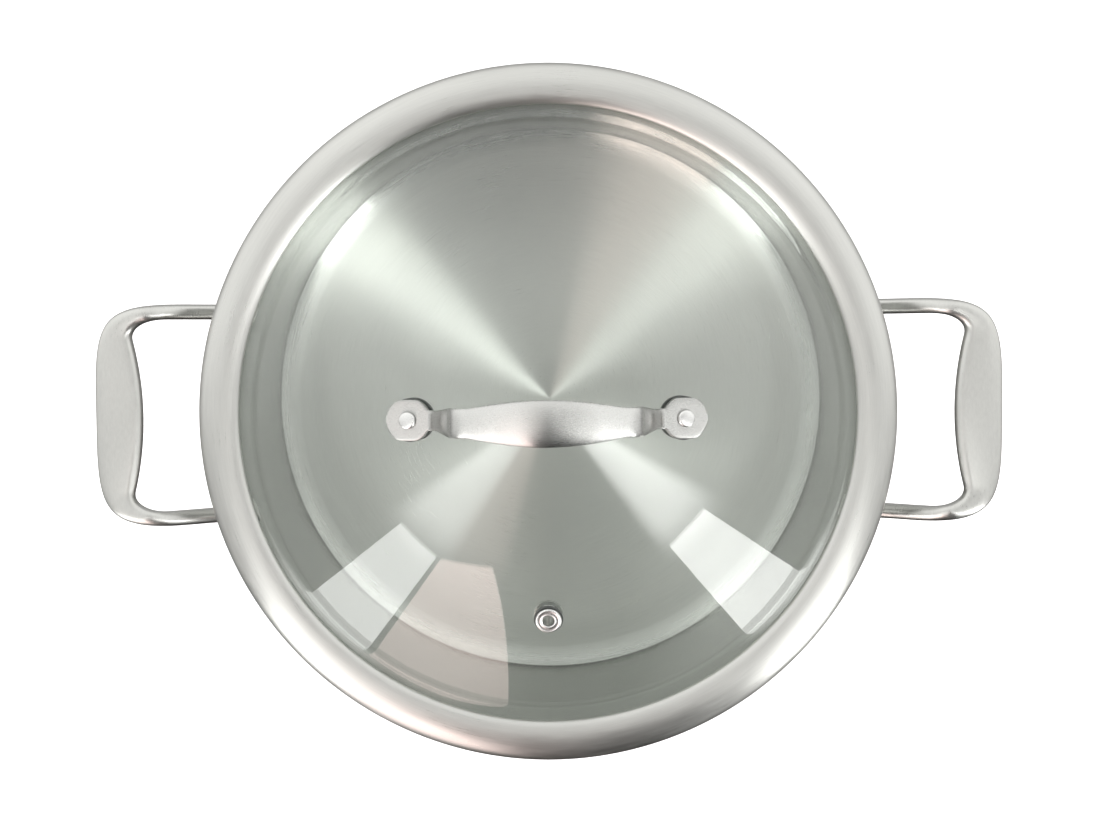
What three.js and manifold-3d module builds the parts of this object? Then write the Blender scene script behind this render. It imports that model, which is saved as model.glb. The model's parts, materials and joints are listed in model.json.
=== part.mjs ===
// A stainless stew pot with a domed glass lid, in millimetres, +Z up.
// The origin is the centre of the base's underside, and +X runs through the right side handle.
import * as THREE from "three";
import { mergeVertices } from "three/addons/utils/BufferGeometryUtils.js";
import Module from "manifold-3d";

const wasm = await Module();
wasm.setup();

// Facets round the large and the small turned pieces
const ROUND_STEPS = 40;
const SMALL_STEPS = 14;

// Facets along the round stretches of the profiles
const DOME_STEPS = 8;
const CREST_STEPS = 6;
const FILLET_STEPS = 5;
const BEAD_STEPS = 4;
const BEND_STEPS = 3;
const LIP_STEPS = 2;

// Clearances between neighbouring pieces
const SEAT_GAP = 0.3;
const BOND_GAP = 0.1;
const HOLE_CLEARANCE = 0.3;
const MOUTH_CLEARANCE = 0.8;

// Pot body
const POT_INNER_RADIUS = 119.5;
const POT_DEPTH = 119;
const POT_WALL = 1;
const FLOOR_FILLET = 8;
const RIM_BEND = 2.5;
const RIM_FLAT = 1.2;

// Encapsulated base
const CAP_THICKNESS = 0.8;
const CAP_INSET = 3;
const CAP_FILLET = 1.6;
const CORE_THICKNESS = 4.5;

// Side handles: feet on the wall, round arms and a broad flat grip
const HANDLE_SPAN = 331;
const LOOP_WIDTH = 82;
const ARM_WIDTH = 5.7;
const ARM_HEIGHT = 6.4;
const GRIP_WIDTH = 17.1;
const GRIP_END_WIDTH = 13.7;
const GRIP_THICKNESS = 5;
const OUTER_CORNER = 32.8;
const OUTER_TIGHTNESS = 0.87;
const INNER_CORNER_LENGTH = 12.4;
const INNER_CORNER_DEPTH = 7.6;
const INNER_TIGHTNESS = 0.62;
const GRIP_BELOW_RIM = 8;
const ARM_RISE = 14;
const FOOT_WIDTH = 18;
const FOOT_HEIGHT = 31;
const FOOT_THICKNESS = 2.6;
const FOOT_ABOVE_ARM = 8;
const FOOT_RIVET_DROP = 12;
const ARM_SINK = 1.7;

// Rivets through the feet
const FOOT_RIVET_RADIUS = 2.5;
const FOOT_RIVET_HEAD_RADIUS = 4.5;
const FOOT_RIVET_HEAD_HEIGHT = 1.7;

// Lid band, one rolled strip
const BAND_SHEET = 0.8;
const BAND_OVERHANG = 1.8;
const BAND_WIDTH = 14.8;
const BAND_CREST = 7;
const CREST_INSET = 5.2;
const LIP_DROP = 1.7;
const HEM_RADIUS = 1;
const BEAD_RADIUS = 1.5;
const BEAD_DEPTH = 4.4;
const LOWER_LIP_INSET = 1.3;

// Lid glass
const GLASS_THICKNESS = 4;
const GLASS_GRIP = 3.9;
const BRIM_WIDTH = 6.8;
const DOME_RADIUS = 235;

// Lid handle
const RIVET_SPACING = 92.4;
const TAB_WIDTH = 13.4;
const TAB_RADIUS = 7.7;
const TAB_INNER = 7.2;
const TAB_THICKNESS = 2;
const SHOULDER_WIDTH = 8.4;
const NECK_WIDTH = 6.9;
const RISER_RUN = 8.2;
const RISER_HEIGHT = 16.6;
const RISER_THICKNESS = 2.8;
const CREASE_WIDTH = 9.9;
const BEND_RADIUS = 4;
const LID_GRIP_WIDTH = 15.3;
const LID_GRIP_THICKNESS = 4.6;
const LID_GRIP_RISE = 5.8;

// Lid handle fastenings
const LID_RIVET_RADIUS = 2;
const LID_RIVET_HEAD_RADIUS = 2.9;
const LID_RIVET_HEAD_HEIGHT = 1.3;
const LID_RIVET_TAIL_RADIUS = 3.4;
const GASKET_RADIUS = 7.7;
const GASKET_FLANGE = 1.3;
const SLEEVE_WALL = 1.8;
const BACKING_RADIUS = 6.6;
const BACKING_THICKNESS = 1;

// Steam vent
const VENT_OFFSET = 69.6;
const VENT_HOLE_RADIUS = 2;
const VENT_TUBE_WALL = 0.7;
const VENT_FLANGE_RADIUS = 4.55;
const VENT_FLANGE_THICKNESS = 1.1;
const VENT_GASKET_RADIUS = 5.1;
const VENT_GASKET_FLANGE = 0.8;
const VENT_SLEEVE_WALL = 0.6;
const VENT_WASHER_THICKNESS = 0.8;

// Heights and radii that follow from the sizes above
const coreBottom = CAP_THICKNESS + BOND_GAP;
const potUnderside = coreBottom + CORE_THICKNESS + BOND_GAP;
const floorTop = potUnderside + POT_WALL;
const rimTop = floorTop + POT_DEPTH;
const potOuterRadius = POT_INNER_RADIUS + POT_WALL;
const flatFloorRadius = POT_INNER_RADIUS - FLOOR_FILLET;
const rimRadius = POT_INNER_RADIUS + RIM_BEND + RIM_FLAT;
const lidSeat = rimTop + SEAT_GAP;
const halfSheet = BAND_SHEET / 2;
const bandRadius = rimRadius + BAND_OVERHANG;
const lipRadius = bandRadius - BAND_WIDTH;
const lipMiddle = lidSeat + BAND_CREST - halfSheet - LIP_DROP;
const glassRadius = lipRadius + GLASS_GRIP;
const brimTop = lipMiddle - halfSheet - SEAT_GAP;
const brimBottom = brimTop - GLASS_THICKNESS;
const domeEdge = glassRadius - BRIM_WIDTH;
const domeCentre = brimTop - Math.sqrt(DOME_RADIUS ** 2 - domeEdge ** 2);
const footInner = potOuterRadius + SEAT_GAP;
const footOuter = footInner + FOOT_THICKNESS;
const armMiddle = (LOOP_WIDTH - ARM_WIDTH) / 2;
const gripHeight = rimTop - GRIP_BELOW_RIM;
const armRoot = gripHeight - ARM_RISE;
const gasketTop = SEAT_GAP + GASKET_FLANGE;
const tabBottom = gasketTop + SEAT_GAP;
const tabTop = tabBottom + TAB_THICKNESS;

// Finishes, each made afresh for its piece
const finishes = {
  satinSteel: { color: 0xc9c9c4, roughness: 0.38, metalness: 1 },
  polishedSteel: { color: 0xd2d2d0, roughness: 0.16, metalness: 1 },
  brushedSteel: { color: 0xbfc2be, roughness: 0.3, metalness: 1 },
  aluminium: { color: 0xb8babd, roughness: 0.5, metalness: 1 },
  silicone: { color: 0x5b605d, roughness: 0.6, metalness: 0 },
  glass: { color: 0xdfe8e2, roughness: 0.03, metalness: 0, transparent: true, opacity: 0.3 },
};

function piece(parent, name, geometry, finish) {
  const mesh = new THREE.Mesh(geometry, new THREE.MeshStandardMaterial(finishes[finish]));
  mesh.name = name;
  parent.add(mesh);
  return mesh;
}

// A point of an ellipse in a plane, at an angle in degrees
function ellipsePoint(centreX, centreY, radiusX, radiusY, degrees) {
  const angle = THREE.MathUtils.degToRad(degrees);
  return [centreX + radiusX * Math.cos(angle), centreY + radiusY * Math.sin(angle)];
}

// Points of an arc in a profile plane, from one angle to another in degrees
function arc(centreR, centreZ, radiusR, radiusZ, from, to, steps) {
  const points = [];
  for (let i = 0; i <= steps; i++) {
    const degrees = from + ((to - from) * i) / steps;
    points.push(ellipsePoint(centreR, centreZ, radiusR, radiusZ, degrees));
  }
  return points;
}

// The outline of a sheet of even thickness that follows a middle line of [radius, height] points
function sheetOutline(middle, thickness) {
  const right = [];
  const left = [];
  middle.forEach(([r, z], i) => {
    const before = new THREE.Vector2(...middle[Math.max(i - 1, 0)]);
    const here = new THREE.Vector2(r, z);
    const after = new THREE.Vector2(...middle[Math.min(i + 1, middle.length - 1)]);
    const into = here.clone().sub(before).normalize();
    const out = after.clone().sub(here).normalize();
    const along = into.clone().add(out).normalize();
    const normal = new THREE.Vector2(along.y, -along.x);
    const side = i > 0 ? new THREE.Vector2(into.y, -into.x) : normal;
    const offset = normal.multiplyScalar(thickness / 2 / normal.dot(side));
    right.push([r + offset.x, z + offset.y]);
    left.unshift([r - offset.x, z - offset.y]);
  });
  const outline = [...right, ...left];
  return middle[0][0] === 0 ? outline : [...outline, right[0]];
}

// A body of revolution about Z from an anticlockwise [radius, height] outline
function turned(outline, steps) {
  const points = outline.map(([r, z]) => new THREE.Vector2(Math.max(r, 0), z));
  return new THREE.LatheGeometry(points, steps).rotateX(Math.PI / 2);
}

// A round rod along Z between two heights
function rod(radius, from, to, steps = SMALL_STEPS) {
  return turned([[0, from], [radius, from], [radius, to], [0, to]], steps);
}

// A flat ring about Z between two heights
function ring(inner, outer, from, to, steps = SMALL_STEPS) {
  return turned([[inner, from], [outer, from], [outer, to], [inner, to], [inner, from]], steps);
}

// A closed skin through rings of points, all with the same count, capped at both ends
function loft(rings) {
  const count = rings[0].length;
  const positions = rings.flat().flatMap((p) => [p.x, p.y, p.z]);
  const faces = [];
  for (let i = 0; i < rings.length - 1; i++) {
    for (let j = 0; j < count; j++) {
      const a = i * count + j;
      const b = i * count + ((j + 1) % count);
      faces.push(a, b, a + count, b, b + count, a + count);
    }
  }
  const last = (rings.length - 1) * count;
  for (let j = 1; j < count - 1; j++) {
    faces.push(0, j + 1, j, last, last + j, last + j + 1);
  }
  const geometry = new THREE.BufferGeometry();
  geometry.setAttribute("position", new THREE.Float32BufferAttribute(positions, 3));
  geometry.setIndex(faces);
  return geometry;
}

// A geometry as a solid for joining and cutting, and back again
const MERGE_DISTANCE = 0.001;

function solid(geometry, matrix = new THREE.Matrix4()) {
  const bare = new THREE.BufferGeometry();
  const source = geometry.index ? geometry.toNonIndexed() : geometry;
  bare.setAttribute("position", source.getAttribute("position").clone());
  const merged = mergeVertices(bare.applyMatrix4(matrix), MERGE_DISTANCE);
  const index = merged.index.array;
  const triVerts = [];
  for (let i = 0; i < index.length; i += 3) {
    const [a, b, c] = index.slice(i, i + 3);
    if (a !== b && b !== c && c !== a) triVerts.push(a, b, c);
  }
  const mesh = new wasm.Mesh({
    numProp: 3,
    vertProperties: merged.attributes.position.array,
    triVerts: new Uint32Array(triVerts),
  });
  return new wasm.Manifold(mesh);
}

function geometryOf(manifold) {
  const mesh = manifold.getMesh();
  const geometry = new THREE.BufferGeometry();
  geometry.setAttribute("position", new THREE.BufferAttribute(mesh.vertProperties, 3));
  geometry.setIndex(new THREE.BufferAttribute(mesh.triVerts, 1));
  return geometry;
}

// Rounded section between two edge points: exponent 2 is an ellipse, larger is squarer
function roundedSection(edgeA, edgeB, up, thickness, exponent, count) {
  const centre = edgeA.clone().add(edgeB).multiplyScalar(0.5);
  const half = edgeA.clone().sub(centre);
  const points = [];
  for (let i = 0; i < count; i++) {
    const angle = (2 * Math.PI * i) / count;
    const across = Math.sign(Math.cos(angle)) * Math.abs(Math.cos(angle)) ** (2 / exponent);
    const rise = Math.sign(Math.sin(angle)) * Math.abs(Math.sin(angle)) ** (2 / exponent);
    const point = centre.clone().addScaledVector(half, across);
    points.push(point.addScaledVector(up, (rise * thickness) / 2));
  }
  return points;
}

// Height of the glass's upper face at a distance from the axis
function domeHeight(r) {
  return domeCentre + Math.sqrt(DOME_RADIUS ** 2 - r ** 2);
}

// Where a fastening stands on the dome: its origin is on the upper face, its +Z is the face's normal
function domeMatrix(x, y) {
  const matrix = new THREE.Matrix4();
  const normal = new THREE.Vector3(x, y, domeHeight(Math.hypot(x, y)) - domeCentre).normalize();
  const turn = new THREE.Quaternion().setFromUnitVectors(new THREE.Vector3(0, 0, 1), normal);
  const place = new THREE.Vector3(x, y, domeHeight(Math.hypot(x, y)));
  return matrix.compose(place, turn, new THREE.Vector3(1, 1, 1));
}

// A rivet along Z with domed ends: a head above the upper seat and a tail below the lower one
function rivetOutline(shank, head, tail, height, lowerSeat, upperSeat) {
  return [
    ...arc(0, lowerSeat, tail, height, 270, 360, BEND_STEPS),
    [shank, lowerSeat],
    [shank, upperSeat],
    ...arc(0, upperSeat, head, height, 0, 90, BEND_STEPS),
  ];
}

// Azimuth of a handle foot on the wall, and the matrix whose +Z is the wall's normal there
const footAzimuth = Math.asin(armMiddle / footInner);
const rivetHeight = armRoot - FOOT_RIVET_DROP;

function wallMatrix(azimuth, height) {
  const radial = new THREE.Vector3(Math.cos(azimuth), Math.sin(azimuth), 0);
  const upright = new THREE.Vector3(0, 0, 1);
  const across = upright.clone().cross(radial);
  const matrix = new THREE.Matrix4().makeBasis(across, upright, radial);
  return matrix.setPosition(0, 0, height);
}

const footPlaces = [
  { name: "right_rear", azimuth: footAzimuth },
  { name: "right_front", azimuth: -footAzimuth },
  { name: "left_rear", azimuth: Math.PI - footAzimuth },
  { name: "left_front", azimuth: Math.PI + footAzimuth },
];

// Pot body: floor, corner, wall and turned-out rim, with a rivet hole at each foot
function potBody() {
  const half = POT_WALL / 2;
  const wallMiddle = POT_INNER_RADIUS + half;
  const cornerRadius = FLOOR_FILLET + half;
  const bendRadius = RIM_BEND - half;
  const middle = [
    [0, floorTop - half],
    ...arc(flatFloorRadius, floorTop + FLOOR_FILLET, cornerRadius, cornerRadius, 270, 360, FILLET_STEPS),
    ...arc(wallMiddle + bendRadius, rimTop - half - bendRadius, bendRadius, bendRadius, 180, 90, BEND_STEPS),
    [rimRadius, rimTop - half],
  ];
  let body = solid(turned(sheetOutline(middle, POT_WALL), ROUND_STEPS));
  const hole = rod(FOOT_RIVET_RADIUS + HOLE_CLEARANCE, flatFloorRadius, footOuter);
  for (const { azimuth } of footPlaces) {
    body = body.subtract(solid(hole, wallMatrix(azimuth, rivetHeight)));
  }
  return geometryOf(body);
}

// Base: a steel dish round an aluminium disc
const capRadius = flatFloorRadius - CAP_INSET;

function baseCap() {
  const half = CAP_THICKNESS / 2;
  const cornerRadius = CAP_FILLET - half;
  const cornerRadiusCentre = capRadius - CAP_FILLET;
  const middle = [
    [0, half],
    ...arc(cornerRadiusCentre, CAP_FILLET, cornerRadius, cornerRadius, 270, 360, BEND_STEPS),
    [capRadius - half, potUnderside - BOND_GAP],
  ];
  return turned(sheetOutline(middle, CAP_THICKNESS), ROUND_STEPS);
}

function baseCore() {
  const outer = capRadius - CAP_THICKNESS - BOND_GAP;
  const innerFillet = CAP_FILLET - CAP_THICKNESS;
  const outline = [
    [0, coreBottom],
    [outer - innerFillet, coreBottom],
    [outer, coreBottom + innerFillet],
    [outer, coreBottom + CORE_THICKNESS],
    [0, coreBottom + CORE_THICKNESS],
  ];
  return turned(outline, ROUND_STEPS);
}

// Side handle: sections across the loop, from one foot round to the other
const SECTION_POINTS = 10;
const ARM_SQUARENESS = 2.2;
const GRIP_SQUARENESS = 3;
const ARM_STATIONS = 4;
const CORNER_STATIONS = 8;
const GRIP_STATIONS = 5;
const EDGE_STEPS = 40;
const FOOT_CURVE_STEPS = 7;

// Where a line from a point meets an edge, which is a run of points
function meet(edge, from, heading) {
  for (let i = 0; i < edge.length - 1; i++) {
    const before = edge[i].clone().sub(from);
    const after = edge[i + 1].clone().sub(from);
    const sideBefore = heading.cross(before);
    const sideAfter = heading.cross(after);
    if (sideBefore === sideAfter || sideBefore * sideAfter > 0) continue;
    const hit = before.lerp(after, sideBefore / (sideBefore - sideAfter));
    if (hit.dot(heading) > 0) return hit.add(from);
  }
  throw new Error("A section misses the edge of the loop");
}

// Outer edge of a loop in plan: along the rear arm, round the corner and along the grip
function outerEdge() {
  const reach = HANDLE_SPAN / 2;
  const half = LOOP_WIDTH / 2;
  const pull = OUTER_CORNER * OUTER_TIGHTNESS;
  const corner = new THREE.CubicBezierCurve(
    new THREE.Vector2(reach - OUTER_CORNER, half),
    new THREE.Vector2(reach - OUTER_CORNER + pull, half),
    new THREE.Vector2(reach, half - OUTER_CORNER + pull),
    new THREE.Vector2(reach, half - OUTER_CORNER),
  );
  return [new THREE.Vector2(0, half), ...corner.getPoints(EDGE_STEPS), new THREE.Vector2(reach, -half)];
}

// Inner edge of a loop in plan, which bows towards the pot between the ends of the grip
const armInner = LOOP_WIDTH / 2 - ARM_WIDTH;
const gripEndX = HANDLE_SPAN / 2 - GRIP_END_WIDTH;
const gripEndY = armInner - INNER_CORNER_DEPTH;
const cornerPivot = new THREE.Vector2(gripEndX - INNER_CORNER_LENGTH, gripEndY);

function innerEdge() {
  const bow = GRIP_WIDTH - GRIP_END_WIDTH;
  const pull = INNER_CORNER_DEPTH * INNER_TIGHTNESS;
  const lean = (2 * bow) / gripEndY;
  const corner = new THREE.CubicBezierCurve(
    new THREE.Vector2(cornerPivot.x, armInner),
    new THREE.Vector2(cornerPivot.x + INNER_CORNER_LENGTH * INNER_TIGHTNESS, armInner),
    new THREE.Vector2(gripEndX + lean * pull, gripEndY + pull),
    new THREE.Vector2(gripEndX, gripEndY),
  );
  const edge = [new THREE.Vector2(0, armInner), ...corner.getPoints(EDGE_STEPS)];
  for (let i = 1; i <= EDGE_STEPS; i++) {
    const share = 1 - (2 * i) / EDGE_STEPS;
    edge.push(new THREE.Vector2(gripEndX - bow * (1 - share ** 2), gripEndY * share));
  }
  return edge;
}

// Sections of half a loop: across the arm, fanned out round the corner and across the grip
function loopSections() {
  const rootX = Math.sqrt((footOuter - ARM_SINK) ** 2 - armInner ** 2);
  const reachX = HANDLE_SPAN / 2 - cornerPivot.x;
  const reachY = LOOP_WIDTH / 2 - cornerPivot.y;
  const lines = [];
  for (let i = 0; i < ARM_STATIONS; i++) {
    const x = THREE.MathUtils.lerp(rootX, cornerPivot.x, i / ARM_STATIONS);
    lines.push({ from: new THREE.Vector2(x, 0), heading: new THREE.Vector2(0, 1), grip: 0 });
  }
  for (let i = 0; i <= CORNER_STATIONS; i++) {
    const grip = i / CORNER_STATIONS;
    const angle = (Math.PI / 2) * (1 - grip);
    const heading = new THREE.Vector2(reachX * Math.cos(angle), reachY * Math.sin(angle));
    lines.push({ from: cornerPivot, heading, grip });
  }
  for (let i = 1; i <= GRIP_STATIONS; i++) {
    const from = new THREE.Vector2(cornerPivot.x, cornerPivot.y * (1 - i / GRIP_STATIONS));
    lines.push({ from, heading: new THREE.Vector2(1, 0), grip: 1 });
  }
  const outer = outerEdge();
  const inner = innerEdge();
  return lines.map(({ from, heading, grip }) => ({
    outer: meet(outer, from, heading),
    inner: meet(inner, from, heading),
    grip,
  }));
}

function sideHandle() {
  const sections = loopSections();
  const rootX = sections[0].outer.x;
  const levelX = HANDLE_SPAN / 2 - GRIP_WIDTH;
  const up = new THREE.Vector3(0, 0, 1);
  const heightAt = (x) => armRoot + ARM_RISE * THREE.MathUtils.smoothstep(x, rootX, levelX);
  const sectionAt = ({ outer, inner, grip }, side) => {
    const height = heightAt((outer.x + inner.x) / 2);
    const edgeA = new THREE.Vector3(outer.x, side * outer.y, height);
    const edgeB = new THREE.Vector3(inner.x, side * inner.y, height);
    const thickness = THREE.MathUtils.lerp(ARM_HEIGHT, GRIP_THICKNESS, grip);
    const squareness = THREE.MathUtils.lerp(ARM_SQUARENESS, GRIP_SQUARENESS, grip);
    return roundedSection(edgeA, edgeB, up, thickness, squareness, SECTION_POINTS);
  };
  const rear = sections.map((section) => sectionAt(section, 1));
  const front = sections.slice(0, -1).reverse().map((section) => sectionAt(section, -1));
  let handle = solid(loft([...rear, ...front]));

  // Feet: rounded plates bent to the wall, with a rivet hole
  const radius = FOOT_WIDTH / 2;
  const top = FOOT_ABOVE_ARM - radius;
  const bottom = FOOT_ABOVE_ARM - FOOT_HEIGHT + radius;
  const outline = new THREE.Shape();
  outline.absarc(0, top, radius, 0, Math.PI, false);
  outline.absarc(0, bottom, radius, Math.PI, 2 * Math.PI, false);
  const plate = new THREE.ExtrudeGeometry(outline, {
    depth: footOuter,
    bevelEnabled: false,
    curveSegments: FOOT_CURVE_STEPS,
  });
  const wallFrom = armRoot - FOOT_HEIGHT;
  const wallTo = armRoot + FOOT_HEIGHT;
  const wrap = solid(ring(footInner, footOuter, wallFrom, wallTo, ROUND_STEPS));
  const hole = rod(FOOT_RIVET_RADIUS + HOLE_CLEARANCE, flatFloorRadius, HANDLE_SPAN / 2);
  for (const azimuth of [footAzimuth, -footAzimuth]) {
    const foot = solid(plate, wallMatrix(azimuth, armRoot)).intersect(wrap);
    handle = handle.add(foot).subtract(solid(hole, wallMatrix(azimuth, rivetHeight)));
  }
  return geometryOf(handle);
}

function footRivet() {
  const innerSeat = POT_INNER_RADIUS * Math.cos(Math.PI / ROUND_STEPS) - SEAT_GAP;
  const outerSeat = footOuter + SEAT_GAP;
  const head = FOOT_RIVET_HEAD_RADIUS;
  return turned(
    rivetOutline(FOOT_RIVET_RADIUS, head, head, FOOT_RIVET_HEAD_HEIGHT, innerSeat, outerSeat),
    SMALL_STEPS,
  );
}

// Lid band: lower lip, locating bead, flange on the rim, hem, domed top and the lip on the glass
function lidBand() {
  const lowerLip = brimBottom - SEAT_GAP - halfSheet;
  const flange = lidSeat + halfSheet;
  const stepRadius = POT_INNER_RADIUS - MOUTH_CLEARANCE - halfSheet;
  const beadInner = stepRadius - 2 * BEAD_RADIUS;
  const beadCentre = lidSeat - BEAD_DEPTH + halfSheet + BEAD_RADIUS;
  const hemCentre = bandRadius - halfSheet - HEM_RADIUS;
  const crestRadius = lipRadius + CREST_INSET;
  const crestReach = bandRadius - halfSheet - crestRadius;
  const crest = lidSeat + BAND_CREST - halfSheet;
  const hemTop = flange + HEM_RADIUS;
  const middle = [
    [lipRadius + LOWER_LIP_INSET, lowerLip],
    [beadInner, lowerLip],
    ...arc(stepRadius - BEAD_RADIUS, beadCentre, BEAD_RADIUS, BEAD_RADIUS, 180, 360, BEAD_STEPS),
    [stepRadius, flange],
    ...arc(hemCentre, hemTop, HEM_RADIUS, HEM_RADIUS, 270, 330, LIP_STEPS),
    ...arc(crestRadius, hemTop, crestReach, crest - hemTop, 0, 90, CREST_STEPS),
    ...arc(crestRadius, lipMiddle, CREST_INSET, LIP_DROP, 120, 180, LIP_STEPS),
  ];
  return turned(sheetOutline(middle, BAND_SHEET), ROUND_STEPS);
}

// Lid glass: dome and flat brim, with a hole for each fastening and for the vent
const sleeveInner = LID_RIVET_RADIUS + HOLE_CLEARANCE;
const sleeveOuter = sleeveInner + SLEEVE_WALL;
const ventTubeRadius = VENT_HOLE_RADIUS + VENT_TUBE_WALL;
const ventSleeveInner = ventTubeRadius + HOLE_CLEARANCE;
const ventSleeveOuter = ventSleeveInner + VENT_SLEEVE_WALL;
const rivetX = RIVET_SPACING / 2;

function lidGlass() {
  const innerRadius = DOME_RADIUS - GLASS_THICKNESS;
  const innerEdge = Math.sqrt(innerRadius ** 2 - (brimBottom - domeCentre) ** 2);
  const edgeAngle = (r, radius) => THREE.MathUtils.radToDeg(Math.acos(r / radius));
  const innerFrom = edgeAngle(innerEdge, innerRadius);
  const outerFrom = edgeAngle(domeEdge, DOME_RADIUS);
  const outline = [
    ...arc(0, domeCentre, innerRadius, innerRadius, 90, innerFrom, DOME_STEPS),
    [glassRadius, brimBottom],
    [glassRadius, brimTop],
    ...arc(0, domeCentre, DOME_RADIUS, DOME_RADIUS, outerFrom, 90, DOME_STEPS),
  ];
  let glass = solid(turned(outline, ROUND_STEPS));
  const reach = 2 * GLASS_THICKNESS;
  const fasteningHole = rod(sleeveOuter + HOLE_CLEARANCE, -reach, reach);
  const ventHole = rod(ventSleeveOuter + HOLE_CLEARANCE, -reach, reach);
  glass = glass.subtract(solid(fasteningHole, domeMatrix(rivetX, 0)));
  glass = glass.subtract(solid(fasteningHole, domeMatrix(-rivetX, 0)));
  glass = glass.subtract(solid(ventHole, domeMatrix(0, -VENT_OFFSET)));
  return geometryOf(glass);
}

// Lid handle: a strap whose middle line runs tab, riser, grip, riser, tab in the XZ plane
const TAB_STATIONS = 9;
const BEND_STATIONS = 4;
const ARCH_STATIONS = 6;
const TAB_SQUARENESS = 6;
const RISER_SQUARENESS = 4;
const ARCH_SQUARENESS = 2.4;

// Stations of one half, from the tab's outer end to the middle of the grip
function strapStations() {
  const slope = Math.asin(rivetX / DOME_RADIUS);
  const along = new THREE.Vector2(Math.cos(slope), -Math.sin(slope));
  const normal = new THREE.Vector2(Math.sin(slope), Math.cos(slope));
  const rivet = new THREE.Vector2(rivetX, domeHeight(rivetX));
  const tabMiddle = rivet.clone().addScaledVector(normal, (tabBottom + tabTop) / 2);
  const tabPoint = (distance) => tabMiddle.clone().addScaledVector(along, distance);
  const stations = [];

  // Tab: a disc with two flats, as far round as its shoulders
  const tabTurn = Math.PI - Math.asin(SHOULDER_WIDTH / 2 / TAB_RADIUS);
  for (let i = 1; i <= TAB_STATIONS; i++) {
    const angle = tabTurn * (i / TAB_STATIONS);
    const at = tabPoint(TAB_RADIUS * Math.cos(angle));
    const width = Math.min(TAB_WIDTH, 2 * TAB_RADIUS * Math.sin(angle));
    stations.push({ at, width, thickness: TAB_THICKNESS, square: TAB_SQUARENESS });
  }

  // Riser between two bends, then the arch of the grip
  const foot = tabPoint(-TAB_INNER - BEND_RADIUS / 2);
  const crease = new THREE.Vector2(foot.x - RISER_RUN, foot.y + RISER_HEIGHT);
  const archRadius = (crease.x ** 2 + LID_GRIP_RISE ** 2) / (2 * LID_GRIP_RISE);
  const archCentre = crease.y + LID_GRIP_RISE - archRadius;
  const archPoint = (x) => new THREE.Vector2(x, archCentre + Math.sqrt(archRadius ** 2 - x ** 2));
  const bend = (from, corner, to, widths, thicknesses) => {
    const curve = new THREE.QuadraticBezierCurve(from, corner, to);
    for (let i = 0; i <= BEND_STATIONS; i++) {
      const share = i / BEND_STATIONS;
      stations.push({
        at: curve.getPoint(share),
        width: THREE.MathUtils.lerp(...widths, share),
        thickness: THREE.MathUtils.lerp(...thicknesses, share),
        square: RISER_SQUARENESS,
      });
    }
  };
  const riser = crease.clone().sub(foot).normalize();
  const firstFrom = tabPoint(-TAB_INNER);
  const firstTo = foot.clone().addScaledVector(riser, BEND_RADIUS);
  const secondFrom = crease.clone().addScaledVector(riser, -BEND_RADIUS);
  const secondTo = archPoint(crease.x - BEND_RADIUS);
  bend(firstFrom, foot, firstTo, [NECK_WIDTH, NECK_WIDTH], [TAB_THICKNESS, RISER_THICKNESS]);
  bend(secondFrom, crease, secondTo, [CREASE_WIDTH, CREASE_WIDTH], [RISER_THICKNESS, RISER_THICKNESS]);
  for (let i = 1; i <= ARCH_STATIONS; i++) {
    const share = i / ARCH_STATIONS;
    const swell = Math.sin((Math.PI / 2) * share);
    stations.push({
      at: archPoint(secondTo.x * (1 - share)),
      width: THREE.MathUtils.lerp(CREASE_WIDTH, LID_GRIP_WIDTH, swell),
      thickness: THREE.MathUtils.lerp(RISER_THICKNESS, LID_GRIP_THICKNESS, swell),
      square: ARCH_SQUARENESS,
    });
  }
  return stations;
}

function lidHandle() {
  const half = strapStations();
  const mirrored = half.slice(0, -1).reverse().map((station) => ({
    ...station,
    at: new THREE.Vector2(-station.at.x, station.at.y),
  }));
  const stations = [...half, ...mirrored];
  const rings = stations.map(({ at, width, thickness, square }, i) => {
    const before = stations[Math.max(i - 1, 0)].at;
    const after = stations[Math.min(i + 1, stations.length - 1)].at;
    const along = after.clone().sub(before).normalize();
    const up = new THREE.Vector3(along.y, 0, -along.x);
    const edgeA = new THREE.Vector3(at.x, -width / 2, at.y);
    const edgeB = new THREE.Vector3(at.x, width / 2, at.y);
    return roundedSection(edgeA, edgeB, up, thickness, square, SECTION_POINTS);
  });
  let handle = solid(loft(rings));
  const hole = rod(LID_RIVET_RADIUS + HOLE_CLEARANCE, 0, tabTop + SEAT_GAP);
  handle = handle.subtract(solid(hole, domeMatrix(rivetX, 0)));
  handle = handle.subtract(solid(hole, domeMatrix(-rivetX, 0)));
  return geometryOf(handle);
}

// Fastenings of the lid handle, in a frame whose origin is on the glass and whose +Z is its normal
const lowerGasketTop = -GLASS_THICKNESS - SEAT_GAP;
const lowerGasketBottom = lowerGasketTop - GASKET_FLANGE;
const backingTop = lowerGasketBottom - SEAT_GAP;
const backingBottom = backingTop - BACKING_THICKNESS;

function upperGasket() {
  const sleeveEnd = -GLASS_THICKNESS + SEAT_GAP;
  const outline = [
    [sleeveInner, sleeveEnd],
    [sleeveOuter, sleeveEnd],
    [sleeveOuter, SEAT_GAP],
    [GASKET_RADIUS, SEAT_GAP],
    [GASKET_RADIUS, gasketTop],
    [sleeveInner, gasketTop],
    [sleeveInner, sleeveEnd],
  ];
  return turned(outline, SMALL_STEPS);
}

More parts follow.
